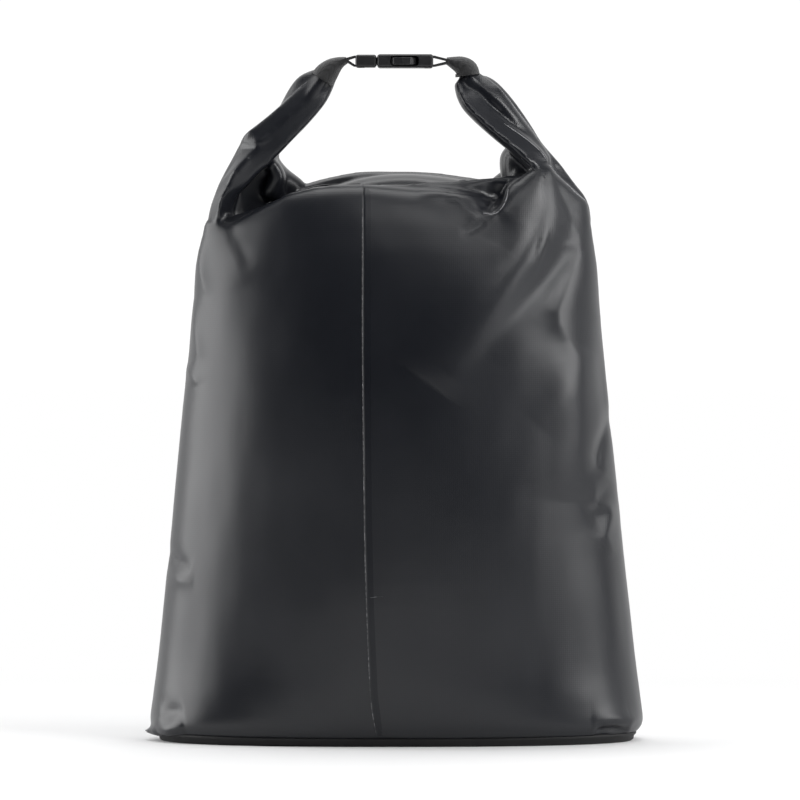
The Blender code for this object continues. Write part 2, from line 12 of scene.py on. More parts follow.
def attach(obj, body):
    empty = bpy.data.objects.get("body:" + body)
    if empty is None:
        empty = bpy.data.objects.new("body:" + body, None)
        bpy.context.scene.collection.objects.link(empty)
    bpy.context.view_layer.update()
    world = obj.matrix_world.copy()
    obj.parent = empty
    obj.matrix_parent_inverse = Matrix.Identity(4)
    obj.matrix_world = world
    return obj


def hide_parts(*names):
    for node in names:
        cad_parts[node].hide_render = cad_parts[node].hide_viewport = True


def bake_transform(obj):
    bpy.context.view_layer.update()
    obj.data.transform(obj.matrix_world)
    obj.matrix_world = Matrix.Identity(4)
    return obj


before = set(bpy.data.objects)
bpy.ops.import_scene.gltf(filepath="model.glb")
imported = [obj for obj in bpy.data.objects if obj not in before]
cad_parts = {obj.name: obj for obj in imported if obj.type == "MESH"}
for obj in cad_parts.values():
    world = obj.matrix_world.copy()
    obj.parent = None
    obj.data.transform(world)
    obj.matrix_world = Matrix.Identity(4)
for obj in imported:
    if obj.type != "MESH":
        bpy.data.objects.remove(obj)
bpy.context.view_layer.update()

# ---- sizes, in metres -----------------------------------------------------------------------
VOXEL = 0.00195   # each half stays under 200,000 triangles
SMOOTH_PASSES = 5
LAST_SMOOTH_PASSES = 2        # once the creases are in
WEAVE = 0.0016                # pitch of the scrim's threads under the coating
SPLIT_X = -0.0200             # the shell's two halves meet here, under the lap
WEBBING_RIB = 0.0011          # pitch of the webbing's ribs
WEBBING_END = 0.0013          # and of its threads across
STITCH = 0.0006               # pitch of the bar tacks' stitches
SIDE_FACING = 0.72            # the weave follows Y where the normal's X is greater than this

# Unevenness of the sheet: height, how fine it is along X, Y and Z, and where in the noise it starts.
SWELLS = (0.0011, (14, 14, 9), (0, 0, 3))
RIPPLES = (0.0003, (48, 48, 20), (7, 0, 0))
RIPPLE_FOOT = 0.004           # none of it below this level
RIPPLE_FADE = 0.030           # and all of it from this much higher

SHARP_WIDTH = 0.011           # creases with a narrower flank have a sharper top
SHARP_TOP, ROUND_TOP = 1.5, 2.0
CREASE_REACH = 3              # flank widths from its line at which a crease has died away
EDGE_ON_SHARE = 0.45          # of a crease's height, where the sheet is seen edge-on
FOLD_POWER = 0.85             # folds are a little squarer across than an ellipse
DOME = (0.5, 0.8, 0.95)       # a fold's rounded end: rings at these shares of its length
EVENING_PASSES = 20           # over a trim's line on the shell
RAY_Y = -0.4                  # in front of everything

# Body outline by level: height, half width, front Y, back Y, and how square and how blunt the
# outline is: depth = (1 - |x| ** square) ** blunt of the greatest.
BODY_LEVELS = [
    (0.0062, 0.1930, -0.0900, 0.0900, 2.6, 0.44),
    (0.0150, 0.1985, -0.0960, 0.0960, 2.5, 0.48),
    (0.0350, 0.1968, -0.1000, 0.1000, 2.3, 0.54),
    (0.0650, 0.1928, -0.1030, 0.1030, 2.1, 0.60),
    (0.1300, 0.1850, -0.1060, 0.1060, 2.0, 0.63),
    (0.2000, 0.1785, -0.1050, 0.1040, 2.0, 0.63),
    (0.2800, 0.1705, -0.1000, 0.0950, 2.1, 0.61),
    (0.3400, 0.1640, -0.0910, 0.0820, 2.2, 0.60),
    (0.3850, 0.1605, -0.0800, 0.0640, 2.2, 0.60),
    (0.4100, 0.1580, -0.0715, 0.0520, 2.2, 0.60),
    (0.4280, 0.1560, -0.0640, 0.0400, 2.2, 0.60),
    (0.4400, 0.1545, -0.0570, 0.0300, 2.2, 0.60),
    (0.4470, 0.1535, -0.0500, 0.0220, 2.2, 0.60),
    (0.4500, 0.1525, -0.0420, 0.0160, 2.2, 0.60),
]
POCKET_DEPTH = 0.024          # the dip behind the crest, beside the left arm
POCKET_X = -0.112
POCKET_HALF_WIDTH = 0.030
POCKET_FRONT_Y = -0.024
POCKET_SLOPE = 0.016          # from its front edge to its full depth, along Y
CREST_FOOT = 0.3700           # above this level the body's top edge follows CREST
CREST = [
    (-0.156, 0.4180), (-0.144, 0.4180), (-0.132, 0.4165), (-0.112, 0.4270), (-0.089, 0.4395),
    (-0.065, 0.4460), (-0.050, 0.4475), (-0.030, 0.4480), (-0.010, 0.4465), (0.015, 0.4450),
    (0.040, 0.4430), (0.060, 0.4400), (0.075, 0.4370), (0.084, 0.4380), (0.096, 0.4500),
    (0.115, 0.4640), (0.123, 0.4630), (0.130, 0.4540), (0.142, 0.4420), (0.153, 0.4330), (0.158, 0.4250),
]

# Folds that make up the arms. Each station is centre (X, Y, Z), half width across the fold as it
# is seen from the front, and half depth along Y.
ROLL = [
    ((-0.0880, 0.0290, 0.4410), 0.0150, 0.0120),
    ((-0.0985, 0.0245, 0.4560), 0.0100, 0.0160),
    ((-0.1040, 0.0190, 0.4700), 0.0085, 0.0180),
    ((-0.0960, 0.0130, 0.4860), 0.0085, 0.0190),
    ((-0.0820, 0.0080, 0.5030), 0.0085, 0.0190),
    ((-0.0690, 0.0040, 0.5180), 0.0085, 0.0185),
    ((-0.0580, 0.0015, 0.5330), 0.0070, 0.0170),
]
ROLL_MIDDLE = [
    ((-0.1050, 0.0260, 0.4270), 0.0130, 0.0120),
    ((-0.0880, 0.0280, 0.4280), 0.0140, 0.0110),
    ((-0.0550, 0.0300, 0.4335), 0.0185, 0.0090),
    ((-0.0230, 0.0310, 0.4378), 0.0195, 0.0088),
    ((0.0260, 0.0310, 0.4378), 0.0195, 0.0088),
    ((0.0570, 0.0300, 0.4345), 0.0185, 0.0090),
    ((0.0880, 0.0280, 0.4310), 0.0160, 0.0110),
    ((0.1050, 0.0260, 0.4310), 0.0140, 0.0120),
]
ROUND_FOLDS = {
    "left_outer_bulge": [
        ((-0.0620, 0.0060, 0.5365), 0.0045, 0.0080),
        ((-0.0720, 0.0070, 0.5285), 0.0085, 0.0100),
        ((-0.0800, 0.0070, 0.5190), 0.0085, 0.0100),
        ((-0.0900, 0.0060, 0.5080), 0.0050, 0.0080),
    ],
    "left_inner_bump": [
        ((-0.1000, 0.0060, 0.4420), 0.0090, 0.0100),
        ((-0.0960, 0.0040, 0.4530), 0.0070, 0.0110),
        ((-0.0990, 0.0030, 0.4620), 0.0055, 0.0100),
    ],
    "crest_top": [
        ((-0.0450, 0.0100, 0.4290), 0.0180, 0.0240),
        ((-0.0150, 0.0100, 0.4335), 0.0205, 0.0290),
        ((0.0150, 0.0100, 0.4345), 0.0210, 0.0300),
        ((0.0450, 0.0090, 0.4320), 0.0200, 0.0300),
        ((0.0820, 0.0060, 0.4270), 0.0150, 0.0240),
    ],
    "right_rear_pouch": [
        ((0.1000, 0.0040, 0.4380), 0.0120, 0.0200),
        ((0.1005, 0.0020, 0.4540), 0.0160, 0.0200),
        ((0.1010, 0.0010, 0.4670), 0.0175, 0.0190),
        ((0.1010, 0.0010, 0.4780), 0.0140, 0.0170),
        ((0.0960, 0.0020, 0.4900), 0.0080, 0.0150),
    ],
}

# Folded faces, from the outer edge over the ridge to the inner edge (each X, Y, Z), and how far
# back the fold's other side lies.
LEFT_FLAP = [
    ((-0.0630, 0.0020, 0.5395), (-0.0550, -0.0080, 0.5385), (-0.0470, 0.0000, 0.5380), 0.0120),
    ((-0.0710, -0.0060, 0.5300), (-0.0600, -0.0120, 0.5260), (-0.0505, -0.0040, 0.5260), 0.0140),
    ((-0.0845, -0.0090, 0.5190), (-0.0705, -0.0150, 0.5155), (-0.0575, -0.0100, 0.5120), 0.0140),
    ((-0.0970, -0.0120, 0.5078), (-0.0845, -0.0175, 0.5040), (-0.0700, -0.0140, 0.4965), 0.0140),
    ((-0.1093, -0.0140, 0.4974), (-0.0970, -0.0195, 0.4930), (-0.0825, -0.0165, 0.4835), 0.0140),
    ((-0.1215, -0.0150, 0.4875), (-0.1090, -0.0212, 0.4830), (-0.0920, -0.0190, 0.4735), 0.0140),
    ((-0.1262, -0.0060, 0.4790), (-0.1115, -0.0225, 0.4765), (-0.0975, -0.0190, 0.4680), 0.0150),
    ((-0.1321, -0.0080, 0.4689), (-0.1185, -0.0235, 0.4690), (-0.1035, -0.0200, 0.4620), 0.0160),
    ((-0.1385, -0.0090, 0.4575), (-0.1265, -0.0250, 0.4595), (-0.1105, -0.0205, 0.4560), 0.0170),
    ((-0.1440, -0.0100, 0.4440), (-0.1345, -0.0270, 0.4475), (-0.1190, -0.0205, 0.4465), 0.0170),
    ((-0.1490, -0.0100, 0.4300), (-0.1410, -0.0300, 0.4350), (-0.1290, -0.0180, 0.4350), 0.0160),
    ((-0.1520, -0.0080, 0.4150), (-0.1440, -0.0255, 0.4150), (-0.1330, -0.0110, 0.4120), 0.0120),
]
RIGHT_TUBE = [                # a rolled edge whose face leans up and to the right
    ((0.0535, -0.0080, 0.5345), (0.0483, -0.0150, 0.5293), (0.0463, -0.0110, 0.5275), 0.0120),
    ((0.0580, -0.0130, 0.5255), (0.0506, -0.0230, 0.5203), (0.0480, -0.0170, 0.5185), 0.0140),
    ((0.0655, -0.0180, 0.5180), (0.0560, -0.0290, 0.5104), (0.0532, -0.0220, 0.5080), 0.0140),
    ((0.0757, -0.0215, 0.5080), (0.0664, -0.0330, 0.4992), (0.0640, -0.0250, 0.4965), 0.0140),
    ((0.0893, -0.0240, 0.4965), (0.0800, -0.0360, 0.4874), (0.0774, -0.0280, 0.4846), 0.0140),
    ((0.1030, -0.0260, 0.4860), (0.0934, -0.0380, 0.4766), (0.0905, -0.0300, 0.4737), 0.0140),
    ((0.1153, -0.0275, 0.4757), (0.1054, -0.0395, 0.4661), (0.1022, -0.0315, 0.4628), 0.0140),
    ((0.1220, -0.0290, 0.4670), (0.1134, -0.0385, 0.4584), (0.1105, -0.0315, 0.4553), 0.0130),
]
RIGHT_LOBE = [
    ((0.0650, -0.0050, 0.5375), (0.0585, -0.0120, 0.5335), (0.0500, -0.0040, 0.5330), 0.0120),
    ((0.0750, -0.0100, 0.5305), (0.0680, -0.0160, 0.5258), (0.0540, -0.0090, 0.5240), 0.0140),
    ((0.0848, -0.0145, 0.5220), (0.0775, -0.0200, 0.5165), (0.0610, -0.0120, 0.5110), 0.0150),
    ((0.0960, -0.0160, 0.5080), (0.0895, -0.0215, 0.5045), (0.0740, -0.0135, 0.4990), 0.0160),
    ((0.1050, -0.0160, 0.4960), (0.1000, -0.0215, 0.4925), (0.0870, -0.0145, 0.4870), 0.0160),
    ((0.1130, -0.0155, 0.4850), (0.1090, -0.0205, 0.4820), (0.0980, -0.0150, 0.4770), 0.0160),
    ((0.1195, -0.0140, 0.4760), (0.1165, -0.0185, 0.4740), (0.1080, -0.0150, 0.4690), 0.0160),
    ((0.1250, -0.0110, 0.4670), (0.1220, -0.0150, 0.4660), (0.1160, -0.0120, 0.4630), 0.0140),
]
RIGHT_OUTER = [
    ((0.0711, 0.0080, 0.5352), (0.0680, 0.0040, 0.5350), (0.0620, 0.0020, 0.5330), 0.0060),
    ((0.0796, 0.0080, 0.5307), (0.0750, 0.0030, 0.5290), (0.0690, 0.0010, 0.5260), 0.0080),
    ((0.0910, 0.0065, 0.5193), (0.0865, 0.0020, 0.5180), (0.0800, 0.0000, 0.5140), 0.0100),
    ((0.1014, 0.0055, 0.5060), (0.0975, 0.0010, 0.5045), (0.0900, 0.0000, 0.5000), 0.0120),
    ((0.1100, 0.0055, 0.4936), (0.1070, 0.0010, 0.4920), (0.0990, 0.0000, 0.4880), 0.0120),
    ((0.1178, 0.0055, 0.4806), (0.1160, 0.0020, 0.4790), (0.1090, 0.0010, 0.4740), 0.0120),
    ((0.1252, 0.0060, 0.4718), (0.1220, 0.0030, 0.4690), (0.1150, 0.0020, 0.4640), 0.0120),
    ((0.1347, 0.0050, 0.4604), (0.1310, 0.0020, 0.4580), (0.1220, 0.0010, 0.4510), 0.0110),
    ((0.1423, 0.0040, 0.4490), (0.1390, 0.0010, 0.4470), (0.1290, 0.0000, 0.4390), 0.0100),
    ((0.1527, 0.0000, 0.4345), (0.1480, -0.0040, 0.4330), (0.1380, -0.0020, 0.4270), 0.0080),
    ((0.1556, -0.0060, 0.4180), (0.1500, -0.0080, 0.4180), (0.1420, -0.0060, 0.4160), 0.0080),
    ((0.1540, -0.0100, 0.3950), (0.1480, -0.0120, 0.3950), (0.1400, -0.0100, 0.3950), 0.0060),
]
RIGHT_SHOULDER = [
    ((0.1230, -0.0060, 0.4680), (0.1150, -0.0180, 0.4690), (0.0990, -0.0160, 0.4700), 0.0120),
    ((0.1290, -0.0060, 0.4560), (0.1205, -0.0250, 0.4560), (0.0960, -0.0200, 0.4560), 0.0140),
    ((0.1390, -0.0080, 0.4430), (0.1200, -0.0340, 0.4430), (0.0910, -0.0240, 0.4440), 0.0140),
    ((0.1460, -0.0120, 0.4250), (0.1190, -0.0460, 0.4230), (0.0860, -0.0360, 0.4250), 0.0140),
    ((0.1480, -0.0160, 0.4000), (0.1140, -0.0570, 0.3980), (0.0800, -0.0520, 0.4020), 0.0140),
    ((0.1460, -0.0200, 0.3700), (0.1040, -0.0640, 0.3680), (0.0740, -0.0620, 0.3720), 0.0140),
    ((0.1400, -0.0240, 0.3350), (0.0900, -0.0700, 0.3350), (0.0660, -0.0700, 0.3400), 0.0140),
]
LEFT_BACK = [
    ((-0.1180, 0.0040, 0.4850), (-0.1060, 0.0040, 0.4800), (-0.0960, 0.0060, 0.4740), 0.0140),
    ((-0.1320, 0.0020, 0.4660), (-0.1130, 0.0040, 0.4640), (-0.0975, 0.0060, 0.4620), 0.0140),
    ((-0.1410, -0.0020, 0.4480), (-0.1180, 0.0040, 0.4460), (-0.0920, 0.0080, 0.4480), 0.0130),
    ((-0.1460, -0.0060, 0.4280), (-0.1220, 0.0030, 0.4300), (-0.0890, 0.0060, 0.4330), 0.0120),
    ((-0.1440, -0.0080, 0.4050), (-0.1260, -0.0020, 0.4080), (-0.0900, 0.0000, 0.4120), 0.0100),
]
EAR = [
    ((-0.1860, -0.0100, 0.0095), 0.0050, 0.0160),
    ((-0.1950, -0.0060, 0.0082), 0.0030, 0.0110),
    ((-0.2008, -0.0030, 0.0072), 0.0014, 0.0050),
]
FOLDED_FACES = (LEFT_BACK, LEFT_FLAP, RIGHT_TUBE, RIGHT_LOBE, RIGHT_OUTER, RIGHT_SHOULDER)

# Creases of the front: height (a ridge where positive, a valley where negative), the widths of the
# flanks to the left and right of one who walks along the line, and that line's (X, Z) points, all
# as the front view shows them.
CREASES = [
    # left arm: the ridges on the outer side, and the curl at the shoulder
    (0.0022, 0.0030, 0.0060, [
        (-0.114, 0.474), (-0.1216, 0.465), (-0.133, 0.4537), (-0.1425, 0.447), (-0.149, 0.440),
    ]),
    (-0.0020, 0.0030, 0.0060, [(-0.126, 0.474), (-0.136, 0.459), (-0.146, 0.442)]),
    (0.0016, 0.0030, 0.0015, [(-0.1265, 0.4825), (-0.118, 0.4802), (-0.108, 0.4812), (-0.100, 0.486)]),
    # right arm: the groove along the lobe's outer edge
    (-0.0014, 0.0040, 0.0030, [(0.083, 0.5235), (0.0970, 0.5079), (0.110, 0.4915), (0.1190, 0.4790)]),
    # right shoulder: the pocket beside the crotch, and the bright fold that closes it
    (-0.0060, 0.0080, 0.0075, [(0.084, 0.4480), (0.0800, 0.4370), (0.0740, 0.4300), (0.066, 0.4260)]),
    (0.0034, 0.0020, 0.0090, [
        (0.0690, 0.4235), (0.0770, 0.4225), (0.0835, 0.4265), (0.0885, 0.4370), (0.0905, 0.4500),
    ]),
    (-0.0024, 0.0080, 0.0110, [
        (0.142, 0.4000), (0.139, 0.4200), (0.131, 0.4380), (0.127, 0.4500), (0.1245, 0.4620),
    ]),
    # right side: the lit fold that runs down from the tube's end, and the long S beside it
    (0.0085, 0.0220, 0.0420, [
        (0.1290, 0.4600), (0.1100, 0.4130), (0.0980, 0.3860), (0.0790, 0.3560), (0.0540, 0.3180),
        (0.0300, 0.2850),
    ]),
    (-0.0040, 0.0140, 0.0180, [
        (0.1520, 0.4200), (0.1440, 0.3960), (0.1240, 0.3760), (0.1000, 0.3520), (0.0720, 0.3200),
        (0.0500, 0.2900),
    ]),
    (0.0026, 0.0170, 0.0080, [
        (0.1270, 0.4500), (0.1343, 0.4270), (0.1465, 0.4047), (0.1475, 0.3904), (0.1384, 0.3701),
        (0.1292, 0.3457), (0.1302, 0.3356), (0.1384, 0.3193), (0.1465, 0.3071), (0.1500, 0.2950),
    ]),
    (-0.0014, 0.0140, 0.0200, [(0.1440, 0.3950), (0.1280, 0.3600), (0.1220, 0.3350), (0.1300, 0.3050)]),
    # right side: the fold below it, the folds at the edge, and the long soft swell
    (0.0016, 0.0150, 0.0120, [(0.1500, 0.3160), (0.1400, 0.2920), (0.1280, 0.2740), (0.1120, 0.2560)]),
    (-0.0020, 0.0050, 0.0070, [
        (0.1648, 0.3400), (0.1658, 0.3149), (0.1668, 0.2949), (0.1678, 0.2746), (0.1719, 0.2550),
    ]),
    (-0.0040, 0.0045, 0.0070, [
        (0.1760, 0.2700), (0.1689, 0.2461), (0.1628, 0.2298), (0.1617, 0.2217), (0.1668, 0.2156),
    ]),
    (0.0030, 0.0160, 0.0200, [(0.1440, 0.3200), (0.1440, 0.2800), (0.1420, 0.2400), (0.1380, 0.1950)]),
    (0.0020, 0.0060, 0.0050, [
        (0.1587, 0.2120), (0.1587, 0.1930), (0.1709, 0.1870), (0.1722, 0.1818), (0.1671, 0.1655),
        (0.1742, 0.1493),
    ]),
    (-0.0018, 0.0080, 0.0080, [(0.1730, 0.2080), (0.1660, 0.1960), (0.1590, 0.1860), (0.1600, 0.1700)]),
    (0.0022, 0.0180, 0.0240, [(0.1680, 0.1700), (0.1720, 0.1200), (0.1760, 0.0700), (0.1820, 0.0200)]),
    # left side
    (0.0022, 0.0040, 0.0090, [(-0.1570, 0.4050), (-0.1570, 0.3820), (-0.1519, 0.3580)]),
    (0.0024, 0.0040, 0.0070, [
        (-0.1620, 0.3560), (-0.1610, 0.3300), (-0.1585, 0.3120), (-0.1640, 0.2990),
    ]),
    (0.0022, 0.0050, 0.0050, [(-0.1690, 0.3030), (-0.1640, 0.2940), (-0.1590, 0.2860)]),
    (0.0008, 0.0080, 0.0140, [(-0.1386, 0.4100), (-0.1330, 0.3950), (-0.1203, 0.3660)]),
    (-0.0006, 0.0060, 0.0060, [(-0.1320, 0.4120), (-0.1240, 0.3950), (-0.1160, 0.3800)]),
    (-0.0024, 0.0060, 0.0060, [(-0.1860, 0.1560), (-0.1760, 0.1440), (-0.1640, 0.1400)]),
    (0.0016, 0.0060, 0.0060, [(-0.1830, 0.1380), (-0.1740, 0.1300), (-0.1620, 0.1290)]),
    # top: the cheek's wrinkles
    (0.0018, 0.0080, 0.0060, [(0.016, 0.4430), (0.030, 0.4405), (0.045, 0.4370), (0.062, 0.4350)]),
    (-0.0010, 0.0070, 0.0100, [(0.018, 0.4370), (0.036, 0.4320), (0.054, 0.4290), (0.068, 0.4310)]),
    (0.0016, 0.0070, 0.0060, [(0.0430, 0.4400), (0.0560, 0.4280), (0.0640, 0.4180)]),
    (-0.0010, 0.0035, 0.0050, [(0.0740, 0.4190), (0.0690, 0.4150), (0.0570, 0.4080), (0.0500, 0.4070)]),
    # foot: puckers at the base's corners
    (0.0045, 0.0090, 0.0040, [(0.1560, 0.0160), (0.1700, 0.0170), (0.1850, 0.0165), (0.1990, 0.0200)]),
    (-0.0060, 0.0050, 0.0050, [(0.1580, 0.0110), (0.1720, 0.0110), (0.1860, 0.0100)]),
    (0.0030, 0.0040, 0.0040, [(0.1640, 0.0110), (0.1760, 0.0060), (0.1860, 0.0030)]),
    (0.0040, 0.0080, 0.0050, [(-0.1700, 0.0150), (-0.1830, 0.0100), (-0.1990, 0.0080)]),
    (-0.0030, 0.0080, 0.0080, [(-0.1700, 0.0270), (-0.1860, 0.0240), (-0.1990, 0.0260)]),
    (0.0020, 0.0060, 0.0060, [(-0.1920, 0.0330), (-0.1900, 0.0200), (-0.1950, 0.0120)]),
]
BACK_CREASES = [
    # folds that fan down from where the roll turns up into each arm
    (0.0045, 0.0140, 0.0260, [
        (-0.1180, 0.4200), (-0.0980, 0.3900), (-0.0640, 0.3560), (-0.0300, 0.3300),
    ]),
    (-0.0035, 0.0120, 0.0140, [
        (-0.1330, 0.4100), (-0.1160, 0.3700), (-0.0800, 0.3300), (-0.0520, 0.3050),
    ]),
    (0.0035, 0.0100, 0.0200, [
        (-0.1400, 0.3900), (-0.1290, 0.3400), (-0.1080, 0.2900), (-0.0940, 0.2400),
    ]),
    (0.0050, 0.0260, 0.0140, [(0.1140, 0.4200), (0.0900, 0.3860), (0.0560, 0.3600), (0.0200, 0.3450)]),
    (-0.0035, 0.0140, 0.0120, [(0.1300, 0.4060), (0.1060, 0.3640), (0.0700, 0.3360), (0.0400, 0.3200)]),
    (0.0035, 0.0160, 0.0090, [(0.1380, 0.3760), (0.1260, 0.3300), (0.1300, 0.2800), (0.1220, 0.2300)]),
    # shallow wrinkles at the edges and puckers at the foot
    (-0.0014, 0.0110, 0.0110, [(0.1560, 0.2600), (0.1460, 0.2400), (0.1520, 0.2150)]),
    (-0.0012, 0.0110, 0.0120, [(-0.1600, 0.2300), (-0.1480, 0.2140), (-0.1500, 0.1900)]),
    (0.0030, 0.0090, 0.0090, [(0.1500, 0.0500), (0.1700, 0.0300), (0.1880, 0.0180)]),
    (0.0030, 0.0090, 0.0090, [(-0.1480, 0.0520), (-0.1680, 0.0320), (-0.1880, 0.0180)]),
]

# Base rim by level: height, half width, half depth.
BASE_LEVELS = [
    (0.0000, 0.1850, 0.0830), (0.0000, 0.1895, 0.0870), (0.0012, 0.1910, 0.0880), (0.0040, 0.1916, 0.0886),
    (0.0052, 0.1930, 0.0898), (0.0062, 0.1934, 0.0902), (0.0072, 0.1926, 0.0895), (0.0090, 0.1890, 0.0850),
]
BODY_POINTS = 160             # round each level
BASE_POINTS = 200

# The rails inside the socket's mouth: lower and upper corner of each.
GUIDE_BOXES = [
    ((-0.0060, -0.0018, 0.5412), (0.0190, 0.0018, 0.5432)),
    ((-0.0060, -0.0018, 0.5488), (0.0190, 0.0018, 0.5508)),
    ((0.0130, -0.0018, 0.5430), (0.0190, 0.0018, 0.5490)),
]

# Strips laid on the shell: width, and the line that each follows as (X, Z).
LAP_LEFT = [
    (-0.0157, 0.009), (-0.0205, 0.041), (-0.0237, 0.113), (-0.0254, 0.178), (-0.0270, 0.315),
    (-0.0270, 0.435), (-0.0262, 0.4455),
]
LAP_RIGHT = [
    (-0.0050, 0.009), (-0.0090, 0.041), (-0.0120, 0.113), (-0.0133, 0.178), (-0.0135, 0.315),
    (-0.0135, 0.435), (-0.0128, 0.4455),
]
BAG_EDGES = [
    (0.0005, LAP_LEFT),
    (0.0005, [(-0.0210, 0.1195), (-0.0170, 0.1200), (-0.0110, 0.1205)]),
]
# left arm: pale strips that are partly the flap's cut edge and partly painted highlight of glints along its
# folds
LEFT_EDGES_AND_GLINTS = [
    (0.0009, [(-0.0905, 0.4745), (-0.0960, 0.4690), (-0.1020, 0.4630), (-0.1075, 0.4580)]),
    (0.0006, [(-0.0715, 0.5295), (-0.0770, 0.5250), (-0.0845, 0.5190)]),
]
# right arm: pale strips along fold edges, mostly painted highlight of glints on the folds and partly cut
# edges
RIGHT_EDGES_AND_GLINTS = [
    (0.0008, [
        (0.0835, 0.5230), (0.0900, 0.5150), (0.0962, 0.5072), (0.1030, 0.4985), (0.1090, 0.4905),
        (0.1150, 0.4825),
    ]),
    (0.0007, [
        (0.0860, 0.4955), (0.0935, 0.4905), (0.1060, 0.4815), (0.1150, 0.4735), (0.1205, 0.4655),
    ]),
    (0.0008, [(0.1225, 0.4630), (0.1300, 0.4538), (0.1423, 0.4412), (0.1527, 0.4325)]),
    (0.0008, [
        (0.0690, 0.4238), (0.0768, 0.4229), (0.0825, 0.4262), (0.0872, 0.4338), (0.0893, 0.4430),
    ]),
    (0.0006, [(0.0480, 0.5365), (0.0540, 0.5345), (0.0610, 0.5350)]),
]
LEFT_BEADS = [
    (0.0012, [
        (-0.1380, 0.4168), (-0.1320, 0.4160), (-0.1200, 0.4225), (-0.1000, 0.4335), (-0.0890, 0.4390),
    ]),
    (0.0010, [(-0.0880, 0.4392), (-0.0650, 0.4455), (-0.0500, 0.4470), (-0.0290, 0.4474)]),
]
RIGHT_BEADS = [
    (0.0012, [(0.1000, 0.4680), (0.1080, 0.4605), (0.1150, 0.4545), (0.1190, 0.4520)]),
]

# Webbing wraps over the arms' tips: centre, half width seen from the front, half depth.
LEFT_WRAP = [
    ((-0.0398, 0.0, 0.5470), 0.0026, 0.0118),
    ((-0.0455, 0.0, 0.5450), 0.0048, 0.0130),
    ((-0.0510, 0.0, 0.5415), 0.0075, 0.0145),
    ((-0.0560, 0.0, 0.5365), 0.0094, 0.0160),
    ((-0.0600, 0.0, 0.5310), 0.0100, 0.0170),
]
RIGHT_WRAP = [
    ((0.0398, 0.0, 0.5466), 0.0026, 0.0118),
    ((0.0455, 0.0, 0.5450), 0.0050, 0.0135),
    ((0.0515, 0.0, 0.5428), 0.0075, 0.0150),
    ((0.0562, 0.0, 0.5392), 0.0092, 0.0165),
    ((0.0572, 0.0, 0.5345), 0.0100, 0.0172),
]


# ---- mesh helpers -----------------------------------------------------------------------------
def smooth_path(stations, steps):
    """Catmull-Rom through rows of numbers, steps per span."""
    rows = np.array([np.hstack([np.array(s[0]), s[1:]]) for s in stations], float)
    padded = np.vstack([2 * rows[0] - rows[1], rows, 2 * rows[-1] - rows[-2]])
    found = []
    for i in range(1, len(padded) - 2):
        a, b, c, d = padded[i - 1 : i + 3]
        for t in np.arange(steps) / steps:
            square, cube = 2 * a - 5 * b + 4 * c - d, 3 * b - a - 3 * c + d
            found.append(0.5 * (2 * b + (c - a) * t + square * t**2 + cube * t**3))
    return np.array([*found, rows[-1]])


def add_rings(bm, rings):
    """Closes a stack of equal rings into a body."""
    rows = [[bm.verts.new(p) for p in ring] for ring in rings]
    count = len(rows[0])
    for lower, upper in zip(rows, rows[1:]):
        for k in range(count):
            after = (k + 1) % count
            bm.faces.new((lower[k], lower[after], upper[after], upper[k]))
    bm.faces.new(rows[0])
    bm.faces.new(rows[-1])


def add_faces(bm, stations, steps=4, side=6):
    """A flattened fold: a front of two faces that meet at a ridge, and a back behind it."""
    flat = []
    for outer, ridge, inner, depth in stations:
        back_inner = (inner[0], inner[1] + depth, inner[2])
        back_outer = (outer[0], outer[1] + depth, outer[2])
        flat.append((np.ravel([outer, ridge, inner, back_inner, back_outer]), 0))
    rings = []
    for row in smooth_path(flat, steps):
        corners = row[:15].reshape(5, 3)
        ring = []
        for k in range(5):
            for t in np.arange(side) / side:
                ring.append(corners[k] + t * (corners[(k + 1) % 5] - corners[k]))
        rings.append(ring)
    add_rings(bm, rings)


def add_fold(bm, stations, steps=4, around=32, domed=True):
    """A fold of fabric as a closed tube, which rounds off at both ends unless it is cut flat."""
    path = smooth_path(stations, steps)
    rings = []
    for i, row in enumerate(path):
        ahead, behind = path[min(i + 1, len(path) - 1)], path[max(i - 1, 0)]
        along = Vector(ahead[:3] - behind[:3]).normalized()
        across = along.cross(Vector((0, 1, 0))).normalized()
        deep = across.cross(along)
        centre, wide, thick = Vector(row[:3]), row[3], row[4]
        ring = []
        for k in range(around):
            angle = 2 * math.pi * k / around
            c, s = math.cos(angle), math.sin(angle)
            u = math.copysign(abs(c) ** FOLD_POWER, c) * wide
            v = math.copysign(abs(s) ** FOLD_POWER, s) * thick
            ring.append(centre + across * u + deep * v)
        rings.append(ring)
    first, last = path[0], path[-1]
    for end, ring_index, outward in ((first, 0, -1), (last, -1, 1)):
        other = path[1] if outward < 0 else path[-2]
        along = Vector(end[:3] - other[:3]).normalized()
        base = rings[ring_index]
        centre = Vector(end[:3])
        domes = []
        for share in DOME if domed else ():
            shrink = math.sqrt(1 - share**2)
            lift = share * min(end[3], end[4])
            domes.append([centre + (p - centre) * shrink + along * lift for p in base])
        rings = domes[::-1] + rings if outward < 0 else rings + domes
    add_rings(bm, rings)


def crest_height(x):
    xs, zs = zip(*CREST)
    return np.interp(x, xs, zs)


def outline(half_x, half_y, square, blunt, count):
    """Points round a level of the body: square fills out its corners, blunt its ends."""
    for k in range(count):
        angle = 2 * math.pi * k / count
        c, s = math.cos(angle), math.sin(angle)
        x = half_x * math.copysign(abs(c) ** (2 / square), c)
        yield x, half_y * math.copysign(max(0, 1 - c * c) ** blunt, s)


